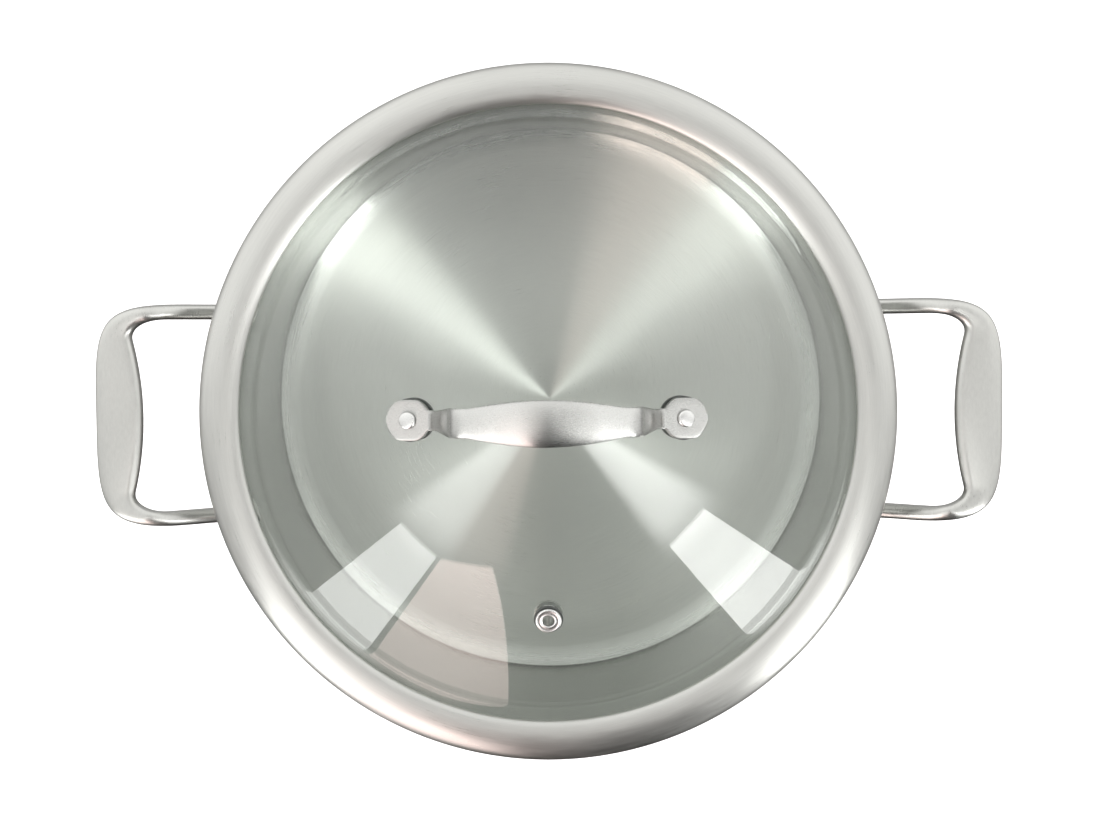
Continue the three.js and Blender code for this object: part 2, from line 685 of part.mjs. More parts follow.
function lidRivet() {
  const upperSeat = tabTop + SEAT_GAP;
  const lowerSeat = backingBottom - SEAT_GAP;
  return turned(
    rivetOutline(
      LID_RIVET_RADIUS,
      LID_RIVET_HEAD_RADIUS,
      LID_RIVET_TAIL_RADIUS,
      LID_RIVET_HEAD_HEIGHT,
      lowerSeat,
      upperSeat,
    ),
    SMALL_STEPS,
  );
}

// Steam vent, in a frame of the same kind
const ventWasherTop = -GLASS_THICKNESS - SEAT_GAP;
const ventWasherBottom = ventWasherTop - VENT_WASHER_THICKNESS;
const ventFlangeBottom = SEAT_GAP + VENT_GASKET_FLANGE + SEAT_GAP;

function ventEyelet() {
  const flangeTop = ventFlangeBottom + VENT_FLANGE_THICKNESS;
  const tailTop = ventWasherBottom - SEAT_GAP;
  const tailBottom = tailTop - VENT_TUBE_WALL;
  const rollRadius = VENT_FLANGE_THICKNESS / 2;
  const rollCentre = VENT_FLANGE_RADIUS - rollRadius;
  const rollHeight = ventFlangeBottom + rollRadius;
  const outline = [
    [VENT_HOLE_RADIUS, tailBottom],
    [ventSleeveOuter, tailBottom],
    [ventSleeveOuter, tailTop],
    [ventTubeRadius, tailTop],
    [ventTubeRadius, ventFlangeBottom],
    ...arc(rollCentre, rollHeight, rollRadius, rollRadius, 270, 450, BEAD_STEPS),
    [ventTubeRadius, flangeTop - rollRadius],
    [VENT_HOLE_RADIUS, flangeTop - rollRadius],
    [VENT_HOLE_RADIUS, tailBottom],
  ];
  return turned(outline, SMALL_STEPS);
}

function ventGasket() {
  const sleeveEnd = -GLASS_THICKNESS + SEAT_GAP;
  const flangeTop = SEAT_GAP + VENT_GASKET_FLANGE;
  const outline = [
    [ventSleeveInner, sleeveEnd],
    [ventSleeveOuter, sleeveEnd],
    [ventSleeveOuter, SEAT_GAP],
    [VENT_GASKET_RADIUS, SEAT_GAP],
    [VENT_GASKET_RADIUS, flangeTop],
    [ventSleeveInner, flangeTop],
    [ventSleeveInner, sleeveEnd],
  ];
  return turned(outline, SMALL_STEPS);
}

// A group that stands on the dome at a place in plan
function standOnDome(parent, x, y) {
  const group = new THREE.Group();
  group.applyMatrix4(domeMatrix(x, y));
  parent.add(group);
  return group;
}

const stewPot = new THREE.Group();
const pot = new THREE.Group();
const lid = new THREE.Group();
stewPot.add(pot, lid);

piece(pot, "pot_body", potBody(), "brushedSteel");
piece(pot, "base_cap", baseCap(), "satinSteel");
piece(pot, "base_core", baseCore(), "aluminium");
for (const { name, turn } of [{ name: "right", turn: 0 }, { name: "left", turn: Math.PI }]) {
  const handle = piece(pot, `side_handle_${name}`, sideHandle(), "satinSteel");
  handle.rotation.z = turn;
}
for (const { name, azimuth } of footPlaces) {
  const rivet = piece(pot, `handle_rivet_${name}`, footRivet(), "polishedSteel");
  rivet.applyMatrix4(wallMatrix(azimuth, rivetHeight));
}

piece(lid, "lid_glass", lidGlass(), "glass");
piece(lid, "lid_band", lidBand(), "satinSteel");
piece(lid, "lid_handle", lidHandle(), "polishedSteel");
for (const { name, x } of [{ name: "left", x: -rivetX }, { name: "right", x: rivetX }]) {
  const stack = standOnDome(lid, x, 0);
  const lowerGasket = ring(sleeveInner, GASKET_RADIUS, lowerGasketBottom, lowerGasketTop);
  const backing = ring(sleeveInner, BACKING_RADIUS, backingBottom, backingTop);
  piece(stack, `upper_gasket_${name}`, upperGasket(), "silicone");
  piece(stack, `lower_gasket_${name}`, lowerGasket, "silicone");
  piece(stack, `backing_washer_${name}`, backing, "satinSteel");
  piece(stack, `lid_rivet_${name}`, lidRivet(), "polishedSteel");
}
const vent = standOnDome(lid, 0, -VENT_OFFSET);
const ventWasher = ring(ventSleeveInner, VENT_GASKET_RADIUS, ventWasherBottom, ventWasherTop);
piece(vent, "vent_eyelet", ventEyelet(), "polishedSteel");
piece(vent, "vent_gasket", ventGasket(), "silicone");
piece(vent, "vent_washer", ventWasher, "satinSteel");

export default stewPot;
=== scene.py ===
"""A stew pot with a domed glass lid: its finished pieces and a plain studio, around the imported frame."""

import json
import math
from types import SimpleNamespace

import bmesh
import bpy
from bpy.props import FloatProperty, FloatVectorProperty, PointerProperty
from mathutils import Matrix, Vector


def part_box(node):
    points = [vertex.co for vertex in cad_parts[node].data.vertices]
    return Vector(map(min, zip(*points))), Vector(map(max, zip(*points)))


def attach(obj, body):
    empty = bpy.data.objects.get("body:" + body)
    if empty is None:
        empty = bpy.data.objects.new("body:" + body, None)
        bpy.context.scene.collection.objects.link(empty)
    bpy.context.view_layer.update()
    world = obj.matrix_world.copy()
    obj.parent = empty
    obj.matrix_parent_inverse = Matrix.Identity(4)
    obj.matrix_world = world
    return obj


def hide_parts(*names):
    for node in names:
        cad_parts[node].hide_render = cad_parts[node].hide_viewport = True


bl_info = {
    "name": "Stew Pot",
    "version": (1, 0, 0),
    "blender": (4, 5, 0),
    "location": "View3D > Sidebar > Stew Pot",
    "description": "Builds a stew pot with a glass lid, its finishes and a studio",
    "category": "Add Mesh",
}

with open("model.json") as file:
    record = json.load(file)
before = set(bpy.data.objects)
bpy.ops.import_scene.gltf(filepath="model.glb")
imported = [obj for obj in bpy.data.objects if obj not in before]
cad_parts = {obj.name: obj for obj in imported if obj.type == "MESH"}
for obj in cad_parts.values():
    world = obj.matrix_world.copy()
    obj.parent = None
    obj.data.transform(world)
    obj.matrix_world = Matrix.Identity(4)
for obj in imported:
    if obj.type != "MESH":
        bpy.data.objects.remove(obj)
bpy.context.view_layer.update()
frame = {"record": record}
POT_LOW, POT_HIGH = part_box("pot_body")
CAP_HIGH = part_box("base_cap")[1]
CORE_LOW, CORE_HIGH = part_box("base_core")
LOOP_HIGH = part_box("side_handle_right")[1]
BAND_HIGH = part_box("lid_band")[1]
GLASS_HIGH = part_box("lid_glass")[1]
GRIP_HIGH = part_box("lid_handle")[1]

MM = 0.001

# Clearances between neighbouring pieces
SEAT_GAP = 0.3 * MM
HOLE_CLEARANCE = 0.3 * MM
MOUTH_CLEARANCE = 0.8 * MM

# Fineness of the meshes
TURN_STEPS = 256
SMALL_STEPS = 64
SECTION_POINTS = 48
ARC_STEPS = 24
EDGE_STEPS = 6
RUN_STEP = 6 * MM
SHARP_EDGE = math.radians(38)
ON_AXIS = 0.001 * MM


# Sizes, finishes and studio settings that a user would change


def length(label, note, millimetres):
    return FloatProperty(
        name=label, description=note, default=millimetres * MM, min=0.0, precision=5, unit="LENGTH"
    )


def slope(label, note, degrees):
    return FloatProperty(name=label, description=note, default=math.radians(degrees), subtype="ANGLE")


def brightness(label, note, default):
    return FloatProperty(name=label, description=note, default=default, min=0.0)


def share(label, note, default, high=1.0):
    return FloatProperty(name=label, description=note, default=default, min=0.0, max=high, subtype="FACTOR")


def colour(label, note, red, green, blue):
    return FloatVectorProperty(
        name=label,
        description=note,
        default=(red, green, blue, 1.0),
        size=4,
        min=0.0,
        max=1.0,
        subtype="COLOR",
    )


class StewPotBodySizes(bpy.types.PropertyGroup):
    """Sizes of the drawn pot and its base."""

    wall: length("Wall", "Thickness of the drawn sheet", 1.0)
    corner_width: length("Corner width", "Width of the bowed corner between floor and wall", 8.0)
    corner_start: slope("Corner start", "Slope at the inner end of the bowed corner", 8.0)
    corner_end: slope("Corner end", "Slope at the foot of the wall", 36.0)
    rim_bend: length("Rim bend", "Inner radius of the turned-out rim", 2.5)
    rim_flat: length("Rim flat", "Width of the rim past its bend", 1.2)
    cap_thickness: length("Cap thickness", "Sheet of the dish under the base", 0.8)
    cap_fillet: length("Cap fillet", "Outer radius of the dish's corner", 1.6)


class StewPotLoopSizes(bpy.types.PropertyGroup):
    """Sizes of the side handles."""

    loop_width: length("Loop width", "Width of a loop over its two arms", 82.0)
    arm_width: length("Arm width", "Width of an arm seen from above", 5.7)
    arm_height: length("Arm height", "Height of an arm", 6.4)
    grip_width: length("Grip width", "Width of the grip at its middle", 17.1)
    grip_end_width: length("Grip end width", "Width of the grip at its ends", 13.7)
    grip_thickness: length("Grip thickness", "Height of the grip's section", 5.0)
    outer_corner: length("Outer corner", "Reach of the outer corner along the arm and the grip", 32.8)
    outer_tightness: share("Outer tightness", "How square the outer corner is", 0.87)
    inner_corner_length: length("Inner corner length", "Reach of the inner corner along the arm", 12.4)
    inner_corner_depth: length("Inner corner depth", "Reach of the inner corner along the grip", 7.6)
    inner_tightness: share("Inner tightness", "How square the inner corner is", 0.62)
    grip_below_rim: length("Grip below rim", "Drop from the pot's rim to the grip's middle", 8.0)
    arm_rise: length("Arm rise", "Climb of an arm from its foot to the grip", 14.0)
    foot_width: length("Foot width", "Width of a foot on the wall", 18.0)
    foot_height: length("Foot height", "Height of a foot on the wall", 31.0)
    foot_thickness: length("Foot thickness", "Thickness of a foot", 2.6)
    foot_above_arm: length("Foot above arm", "Reach of a foot above its arm's middle", 8.0)
    foot_fillet: length("Foot fillet", "Radius where an arm flows into its foot", 3.0)
    rivet_drop: length("Rivet drop", "Drop from an arm's middle to its rivet", 12.0)
    rivet_radius: length("Rivet radius", "Radius of a rivet's shank", 2.5)
    rivet_head_radius: length("Rivet head radius", "Radius of a rivet's head", 4.5)
    rivet_head_height: length("Rivet head height", "Height of a rivet's crowned head", 1.7)


class StewPotLidSizes(bpy.types.PropertyGroup):
    """Sizes of the lid's band, glass and vent."""

    band_sheet: length("Band sheet", "Thickness of the rolled strip", 0.8)
    band_width: length("Band width", "Width of the band seen from above", 14.8)
    band_crest: length("Band crest", "Height of the band above the rim", 7.0)
    crest_inset: length("Crest inset", "Distance of the crest from the inner lip", 5.2)
    lip_drop: length("Lip drop", "Fall from the crest to the inner lip", 1.7)
    hem_radius: length("Hem radius", "Radius of the hem at the outer edge", 1.0)
    bead_radius: length("Bead radius", "Radius of the bead inside the pot's mouth", 1.5)
    bead_depth: length("Bead depth", "Reach of the bead below the rim", 4.4)
    lower_lip_inset: length("Lower lip inset", "Setback of the lip under the glass", 1.3)
    strip_bend: length("Strip bend", "Middle radius of the strip's small bends", 0.6)
    glass_thickness: length("Glass thickness", "Thickness of the tempered glass", 4.0)
    brim_width: length("Brim width", "Width of the glass's flat brim", 6.8)
    brim_blend: length("Brim blend", "Reach of the soft corner between dome and brim", 2.2)
    dome_radius: length("Dome radius", "Radius of the dome's upper face", 235.0)
    vent_offset: length("Vent offset", "Distance of the vent from the axis", 69.6)
    vent_hole_radius: length("Vent hole radius", "Radius of the vent's bore", 2.0)
    vent_tube_wall: length("Vent tube wall", "Wall of the eyelet's tube", 0.7)
    vent_flange_radius: length("Vent flange radius", "Radius of the eyelet's rolled flange", 4.55)
    vent_flange_thickness: length("Vent flange thickness", "Height of the rolled flange", 1.1)
    vent_gasket_radius: length("Vent gasket radius", "Radius of the silicone under the flange", 5.1)
    vent_gasket_flange: length("Vent gasket flange", "Thickness of the silicone under the flange", 0.8)
    vent_sleeve_wall: length("Vent sleeve wall", "Wall of the silicone sleeve in the glass", 0.6)
    vent_washer_thickness: length("Vent washer thickness", "Thickness of the washer under the glass", 0.8)


class StewPotGripSizes(bpy.types.PropertyGroup):
    """Sizes of the lid handle and its fastenings."""

    rivet_spacing: length("Rivet spacing", "Distance between the two rivets", 92.4)
    tab_width: length("Tab width", "Width of a tab between its flats", 14.0)
    tab_blend: length("Tab blend", "Softness of the corners between flats and round end", 1.4)
    tab_radius: length("Tab radius", "Radius of a tab's round ends", 7.7)
    tab_inner: length("Tab inner", "Reach of a tab before its rivet", 7.2)
    tab_thickness: length("Tab thickness", "Thickness of a tab", 2.0)
    shoulder_blend: length("Shoulder blend", "Softness of the corner between tab and neck", 2.0)
    neck_width: length("Neck width", "Width where a tab turns up into its riser", 6.9)
    riser_run: length("Riser run", "Length of a riser seen from above", 8.2)
    riser_height: length("Riser height", "Height of a riser", 16.6)
    riser_thickness: length("Riser thickness", "Thickness of a riser", 2.8)
    crease_width: length("Crease width", "Width where a riser meets the arch", 9.9)
    foot_bend: length("Foot bend", "Reach of the bend between tab and riser", 4.0)
    crease_bend: length("Crease bend", "Reach of the bend between riser and arch", 3.8)
    width: length("Grip width", "Width of the arch at its middle", 15.3)
    thickness: length("Grip thickness", "Thickness of the arch at its middle", 4.6)
    rivet_radius: length("Rivet radius", "Radius of a rivet's shank", 2.0)
    rivet_head_radius: length("Rivet head radius", "Radius of a rivet's head", 2.9)
    rivet_head_height: length("Rivet head height", "Height of a rivet's crowned head", 1.3)
    rivet_tail_radius: length("Rivet tail radius", "Radius of a rivet's tail", 3.4)
    gasket_radius: length("Gasket radius", "Radius of a silicone washer", 7.45)
    gasket_flange: length("Gasket flange", "Thickness of a silicone washer", 1.3)
    sleeve_wall: length("Sleeve wall", "Wall of a silicone sleeve in the glass", 1.8)
    backing_radius: length("Backing radius", "Radius of a steel washer under the glass", 6.6)
    backing_thickness: length("Backing thickness", "Thickness of a steel washer", 1.0)


class StewPotFinishes(bpy.types.PropertyGroup):
    """Colours and polish of the surfaces."""

    brushed_colour: colour("Brushed steel", "Colour of the brushed floor", 0.715, 0.72, 0.695)
    # Darker than the floor of the same drawn sheet: painted shade on the wall above the corner, inside and
    # out
    shaded_wall_colour: colour("Wall steel", "Colour of the pot's wall", 0.57, 0.575, 0.555)
    satin_colour: colour("Satin steel", "Colour of the band and the side handles", 0.60, 0.60, 0.578)
    strap_colour: colour("Strap steel", "Colour of the lid handle", 0.62, 0.62, 0.605)
    # Darker than the strap, though both are one pressed piece: painted shade on the tabs
    shaded_tab_colour: colour("Tab steel", "Colour of the lid handle's tabs", 0.49, 0.49, 0.478)
    polished_colour: colour("Polished steel", "Colour of the rivets and the vent", 0.79, 0.79, 0.78)
    aluminium_colour: colour("Aluminium", "Colour of the disc in the base", 0.72, 0.73, 0.74)
    silicone_colour: colour("Silicone", "Colour of the silicone washers", 0.085, 0.09, 0.086)
    glass_colour: colour("Glass", "Tint of the tempered glass", 0.955, 0.98, 0.96)
    brushed_roughness: share("Brushed roughness", "Roughness of the brushed floor", 0.32)
    wall_roughness: share("Wall roughness", "Roughness of the pot's wall", 0.21)
    band_roughness: share("Band roughness", "Roughness of the satin band", 0.32)
    loop_roughness: share("Handle roughness", "Roughness of the side handles", 0.32)
    strap_roughness: share("Strap roughness", "Roughness of the lid handle", 0.28)
    polished_roughness: share("Polished roughness", "Roughness of the polished pieces", 0.28)


class StewPotStudio(bpy.types.PropertyGroup):
    """Floor, lights and camera."""

    floor_colour: colour("Floor", "Colour of the floor", 0.9, 0.9, 0.9)
    floor_glow: brightness("Floor glow", "Light that the floor gives by itself", 0.7)
    left_radiance: brightness("Left softbox", "Brightness of the left softbox", 3.5)
    right_radiance: brightness("Right softbox", "Brightness of the right softbox", 4.8)
    card_radiance: brightness("Warm card", "Brightness of the warm card", 3.0)
    sky_radiance: brightness("Room", "Brightness of the room", 1.0)
    light_distance: length("Light distance", "Distance of the lights from the pot", 2000.0)
    lens: FloatProperty(
        name="Lens", description="Focal length on the sensor", default=43.817, min=1.0, unit="CAMERA"
    )


class StewPotSettings(bpy.types.PropertyGroup):
    """Everything that shapes the stew pot."""

    body: PointerProperty(type=StewPotBodySizes)
    loops: PointerProperty(type=StewPotLoopSizes)
    lid: PointerProperty(type=StewPotLidSizes)
    grip: PointerProperty(type=StewPotGripSizes)
    finishes: PointerProperty(type=StewPotFinishes)
    studio: PointerProperty(type=StewPotStudio)


# Places that follow from the sizes and the frame


def body_places(body):
    inner_radius = POT_HIGH.x - body.rim_bend - body.rim_flat
    return SimpleNamespace(
        floor_top=POT_LOW.z + body.wall,
        rim_top=POT_HIGH.z,
        rim_radius=POT_HIGH.x,
        inner_radius=inner_radius,
        outer_radius=inner_radius + body.wall,
        flat_radius=inner_radius - body.corner_width,
    )


def loop_places(settings):
    loops = settings.loops
    pot = body_places(settings.body)
    foot_inner = pot.outer_radius + SEAT_GAP
    grip_height = pot.rim_top - loops.grip_below_rim
    arm_middle = (loops.loop_width - loops.arm_width) / 2
    arm_inner = loops.loop_width / 2 - loops.arm_width
    grip_end = Vector((LOOP_HIGH.x - loops.grip_end_width, arm_inner - loops.inner_corner_depth))
    return SimpleNamespace(
        foot_inner=foot_inner,
        foot_outer=foot_inner + loops.foot_thickness,
        arm_middle=arm_middle,
        arm_root=grip_height - loops.arm_rise,
        rivet_height=grip_height - loops.arm_rise - loops.rivet_drop,
        azimuth=math.asin(arm_middle / foot_inner),
        reach=LOOP_HIGH.x,
        half_width=loops.loop_width / 2,
        arm_inner=arm_inner,
        grip_end=grip_end,
        corner_pivot=grip_end - Vector((loops.inner_corner_length, 0)),
    )


def lid_places(settings):
    lid = settings.lid
    seat = POT_HIGH.z + SEAT_GAP
    half = lid.band_sheet / 2
    lip_radius = BAND_HIGH.x - lid.band_width
    lip_middle = seat + lid.band_crest - half - lid.lip_drop
    brim_top = lip_middle - half - SEAT_GAP
    dome_edge = GLASS_HIGH.x - lid.brim_width
    return SimpleNamespace(
        seat=seat,
        lip_radius=lip_radius,
        lip_middle=lip_middle,
        glass_radius=GLASS_HIGH.x,
        brim_top=brim_top,
        brim_bottom=brim_top - lid.glass_thickness,
        dome_edge=dome_edge,
        dome_centre=brim_top - math.sqrt(lid.dome_radius**2 - dome_edge**2),
    )


def fastening_places(settings):
    """Heights above the glass's upper face, along its normal, and radii of the lid handle's fastenings."""
    lid = settings.lid
    grip = settings.grip
    gasket_top = SEAT_GAP + grip.gasket_flange
    tab_bottom = gasket_top + SEAT_GAP
    lower_top = -lid.glass_thickness - SEAT_GAP
    backing_top = lower_top - grip.gasket_flange - SEAT_GAP
    sleeve_inner = grip.rivet_radius + HOLE_CLEARANCE
    return SimpleNamespace(
        gasket_top=gasket_top,
        tab_bottom=tab_bottom,
        tab_top=tab_bottom + grip.tab_thickness,
        sleeve_end=-lid.glass_thickness + SEAT_GAP,
        lower_top=lower_top,
        lower_bottom=lower_top - grip.gasket_flange,
        backing_top=backing_top,
        backing_bottom=backing_top - grip.backing_thickness,
        sleeve_inner=sleeve_inner,
        sleeve_outer=sleeve_inner + grip.sleeve_wall,
    )


def vent_places(lid):
    tube_outer = lid.vent_hole_radius + lid.vent_tube_wall
    sleeve_inner = tube_outer + HOLE_CLEARANCE
    gasket_top = SEAT_GAP + lid.vent_gasket_flange
    washer_top = -lid.glass_thickness - SEAT_GAP
    return SimpleNamespace(
        tube_outer=tube_outer,
        sleeve_inner=sleeve_inner,
        sleeve_outer=sleeve_inner + lid.vent_sleeve_wall,
        sleeve_end=-lid.glass_thickness + SEAT_GAP,
        gasket_top=gasket_top,
        flange_bottom=gasket_top + SEAT_GAP,
        washer_top=washer_top,
        washer_bottom=washer_top - lid.vent_washer_thickness,
    )


def dome_height(settings, distance):
    return lid_places(settings).dome_centre + math.sqrt(settings.lid.dome_radius**2 - distance**2)


def dome_matrix(settings, x, y):
    """Where a fastening stands on the glass: its origin is on the upper face, its +Z is the face's normal."""
    place = Vector((x, y, dome_height(settings, math.hypot(x, y))))
    normal = place - Vector((0, 0, lid_places(settings).dome_centre))
    turn = Vector((0, 0, 1)).rotation_difference(normal)
    return Matrix.Translation(place) @ turn.to_matrix().to_4x4()


def wall_matrix(azimuth, height):
    """A frame on the pot's axis whose +Z points out at an azimuth and whose +Y is up."""
    radial = Vector((math.cos(azimuth), math.sin(azimuth), 0))
    across = Vector((0, 0, 1)).cross(radial)
    turn = Matrix((across, (0, 0, 1), radial)).transposed()
    return Matrix.Translation((0, 0, height)) @ turn.to_4x4()


# Outlines and meshes


def smooth(value, low, high):
    """0 below low, 1 above high and an even S between them."""
    part = min(max((value - low) / (high - low), 0.0), 1.0)
    return part * part * (3 - 2 * part)


def mix(start, end, part):
    return start + (end - start) * part


def ellipse_point(centre, radii, degrees):
    angle = math.radians(degrees)
    return Vector((centre[0] + radii[0] * math.cos(angle), centre[1] + radii[1] * math.sin(angle)))


def arc(centre, radii, start, end, steps=ARC_STEPS):
    return [ellipse_point(centre, radii, mix(start, end, i / steps)) for i in range(steps + 1)]


def bezier(start, corner, end, part):
    return start.lerp(corner, part).lerp(corner.lerp(end, part), part)


def cubic(start, first, second, end, part):
    return bezier(start, first, second, part).lerp(bezier(first, second, end, part), part)


def meet(edge, start, heading):
    """Where a line from a point meets an edge, which is a run of points."""
    for before, after in zip(edge, edge[1:]):
        side_before = heading.cross(before - start)
        side_after = heading.cross(after - start)
        if side_before == side_after or side_before * side_after > 0:
            continue
        hit = before.lerp(after, side_before / (side_before - side_after))
        if (hit - start).dot(heading) > 0:
            return hit
    raise ValueError("A section misses the edge of the loop")


def larger(first, second, blend):
    """The larger of two values, with a soft change from one to the other."""
    overlap = max(blend - abs(first - second), 0.0)
    return max(first, second) + overlap**2 / (4 * blend)


def softened(corners):
    """A closed outline through (radius, height, softening) corners, each rounded over its softening."""
    points = []
    for i, (radius, height, softening) in enumerate(corners):
        here = Vector((radius, height))
        if softening == 0:
            points.append(here)
            continue
        before = Vector(corners[i - 1][:2])
        after = Vector(corners[(i + 1) % len(corners)][:2])
        start = here + (before - here).normalized() * softening
        end = here + (after - here).normalized() * softening
        points += [bezier(start, here, end, k / EDGE_STEPS) for k in range(EDGE_STEPS + 1)]
    return points


def spaced(points, step=RUN_STEP):
    """The same line with points added so that none of its runs is longer than step."""
    points = [Vector(point) for point in points]
    line = [points[0]]
    for start, end in zip(points, points[1:]):
        count = max(1, math.ceil((end - start).length / step))
        line += [start.lerp(end, (i + 1) / count) for i in range(count)]
    return line


def sheet_outline(middle, thickness):
    """The outline of a sheet along a middle line, with round edges where it doesn't start on the axis."""
    points = [Vector(point) for point in middle]
    right = []
    left = []
    for i, here in enumerate(points):
        into = here - points[max(i - 1, 0)]
        out = points[min(i + 1, len(points) - 1)] - here
        along = (into.normalized() + out.normalized()).normalized()
        offset = Vector((along.y, -along.x)) * thickness / 2
        right.append(here + offset)
        left.insert(0, here - offset)

    def round_edge(centre, start):
        spoke = start - centre
        turns = [Matrix.Rotation(math.pi * k / EDGE_STEPS, 2) for k in range(1, EDGE_STEPS)]
        return [centre + turn @ spoke for turn in turns]

    outline = right + round_edge(points[-1], right[-1]) + left
    if points[0].x > 0:
        outline += round_edge(points[0], left[-1])
    return outline


def turned(outline, steps=TURN_STEPS):
    """A body turned about Z from a closed (radius, height) outline, or from one that ends on the axis."""
    shape = bmesh.new()
    on_axis = outline[0][0] < ON_AXIS
    rings = []
    for radius, height in outline:
        if radius < ON_AXIS:
            rings.append([shape.verts.new((0, 0, height))])
            continue
        angles = [math.tau * i / steps for i in range(steps)]
        rings.append([shape.verts.new((radius * math.cos(a), radius * math.sin(a), height)) for a in angles])
    pairs = list(zip(rings, rings[1:]))
    if not on_axis:
        pairs.append((rings[-1], rings[0]))
    for lower, upper in pairs:
        for i in range(steps):
            j = (i + 1) % steps
            below = (lower[i % len(lower)], lower[j % len(lower)])
            above = (upper[j % len(upper)], upper[i % len(upper)])
            shape.faces.new(list(dict.fromkeys(below + above)))
    bmesh.ops.recalc_face_normals(shape, faces=shape.faces)
    return shape


def rod(radius, low, high, steps=SMALL_STEPS):
    return turned([(0, low), (radius, low), (radius, high), (0, high)], steps)


def soft_ring(inner, outer, low, high, softening):
    """A turned ring with soft edges."""
    corners = [(inner, low), (outer, low), (outer, high), (inner, high)]
    return turned(softened([(radius, height, softening) for radius, height in corners]), SMALL_STEPS)


def lofted(rings):
    """A closed skin through rings of points, all with the same count, with flat ends."""
    shape = bmesh.new()
    skins = [[shape.verts.new(point) for point in ring] for ring in rings]
    count = len(skins[0])
    for lower, upper in zip(skins, skins[1:]):
        for i in range(count):
            j = (i + 1) % count
            shape.faces.new((lower[i], lower[j], upper[j], upper[i]))
    shape.faces.new(skins[0])
    shape.faces.new(skins[-1])
    bmesh.ops.recalc_face_normals(shape, faces=shape.faces)
    return shape


def signed_power(value, power):
    """One coordinate of a rounded section, from a sine or cosine; a higher power makes it squarer."""
    return math.copysign(abs(value) ** (2 / power), value)


def new_object(name, shape, matrix=None):
    mesh = bpy.data.meshes.new(name)
    if matrix is not None:
        shape.transform(matrix)
    shape.to_mesh(mesh)
    shape.free()
    made = bpy.data.objects.new(name, mesh)
    bpy.context.scene.collection.objects.link(made)
    return made


def combine(target, tools, operation):
    """Joins tools to the target mesh or cuts them out of it, and removes them."""
    for tool in tools:
        step = target.modifiers.new(operation.title(), "BOOLEAN")
        step.operation = operation
        step.solver = "EXACT"
        step.object = tool
    depsgraph = bpy.context.evaluated_depsgraph_get()
    depsgraph.update()
    mesh = bpy.data.meshes.new_from_object(target.evaluated_get(depsgraph))
    target.modifiers.clear()
    old = target.data
    target.data = mesh
    mesh.name = target.name
    bpy.data.meshes.remove(old)
    for tool in tools:
        spare = tool.data
        bpy.data.objects.remove(tool)
        bpy.data.meshes.remove(spare)


BODY_OF_NODE = {
    node: body for body, nodes in frame["record"]["behaviour"]["bodies"].items() for node in nodes
}


def finish_piece(piece, node, material, slot, matrix=None):
    """Shades a piece, puts it in place on its node's body and lets it stand for the node."""
    piece.data.materials.clear()
    piece.data.materials.append(material)
    piece.data.shade_smooth()
    piece.data.set_sharp_from_angle(angle=SHARP_EDGE)
    if matrix is not None:
        piece.matrix_world = matrix
    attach(piece, BODY_OF_NODE[node])
    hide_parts(node)
    return piece


# Materials

# Brush marks: how far they change the colour, their depth, and how close they lie on turned pieces
COLOUR_SPREAD = 0.05
MARK_DEPTH = 0.02 * MM
TURNED_LINES = 2600.0
TURNED_STRETCH = 9.0
TURNED_RELIEF = 0.12

# The small bright pieces have closer and shallower marks
BRIGHT_LINES = 6000.0
BRIGHT_RELIEF = 0.05

# Marks per metre along X, Y and Z: on the handles, with their relief, and where the glass was wiped
LOOP_LINES = (1400.0, 420.0, 1400.0)
LOOP_RELIEF = 0.2
STRAP_LINES = (90.0, 5200.0, 5200.0)
STRAP_RELIEF = 0.04
WIPE_LINES = (60.0, 22.0, 22.0)

# Half the length over which the painted shade on the lid handle's tabs fades into its risers
TAB_FADE = 1.0 * MM

# A tangent round an axis turned by a quarter lies across the marks
ACROSS_TANGENT = 0.25

# How strongly the brushing draws out highlights, from none at 0 to most at 1
FULL_BRUSH = 1.0
DISH_BRUSH = 0.8
BAND_BRUSH = 0.6
PLAIN_BRUSH = 0.5
LOOP_BRUSH = 0.35
NO_BRUSH = 0.0

# Steel: what the marks and the patches left by handling add to its roughness, and the scale of the patches
MARK_ROUGHNESS = (-0.05, 0.05)
PATCH_ROUGHNESS = (-0.02, 0.03)
PATCH_SCALE = 22.0

# Silicone: scale and relief of its moulded grain, scale and strength of its clouds
SILICONE_IOR = 1.41
SILICONE_ROUGHNESS = (0.38, 0.5)
GRAIN_SCALE = 2200.0
GRAIN_RELIEF = 0.15
CLOUD_SCALE = 160.0
CLOUD_SPREAD = 0.08

# Glass: scale, relief and depth of the swell, what wiping leaves in its colour and roughness
GLASS_IOR = 1.6
GLASS_ROUGHNESS = (0.0, 0.012)
SWELL_SCALE = 9.0
SWELL_RELIEF = 0.03
SWELL_DEPTH = 0.4 * MM
WIPED_SPREAD = 0.006

# Studio floor
FLOOR_CLOUDS = 3.0
FLOOR_SPREAD = 0.01
FLOOR_ROUGHNESS = 0.9


def add_node(tree, kind, sockets=None, **values):
    """A shader node with its settings; a socket's entry is a number, a colour or another node's output."""
    node = tree.nodes.new(kind)
    for key, value in values.items():
        setattr(node, key, value)
    for key, value in (sockets or {}).items():
        if isinstance(value, bpy.types.NodeSocket):
            tree.links.new(value, node.inputs[key])
        else:
            node.inputs[key].default_value = value
    return node


def math_node(tree, operation, first, second=0.0):
    return add_node(tree, "ShaderNodeMath", {0: first, 1: second}, operation=operation).outputs[0]


def vector_node(tree, operation, first, second=(0, 0, 0)):
    return add_node(tree, "ShaderNodeVectorMath", {0: first, 1: second}, operation=operation).outputs[0]


def noise(tree, place, scale, detail=3.0, roughness=0.55):
    sockets = {"Vector": place, "Scale": scale, "Detail": detail, "Roughness": roughness}
    return add_node(tree, "ShaderNodeTexNoise", sockets).outputs["Fac"]


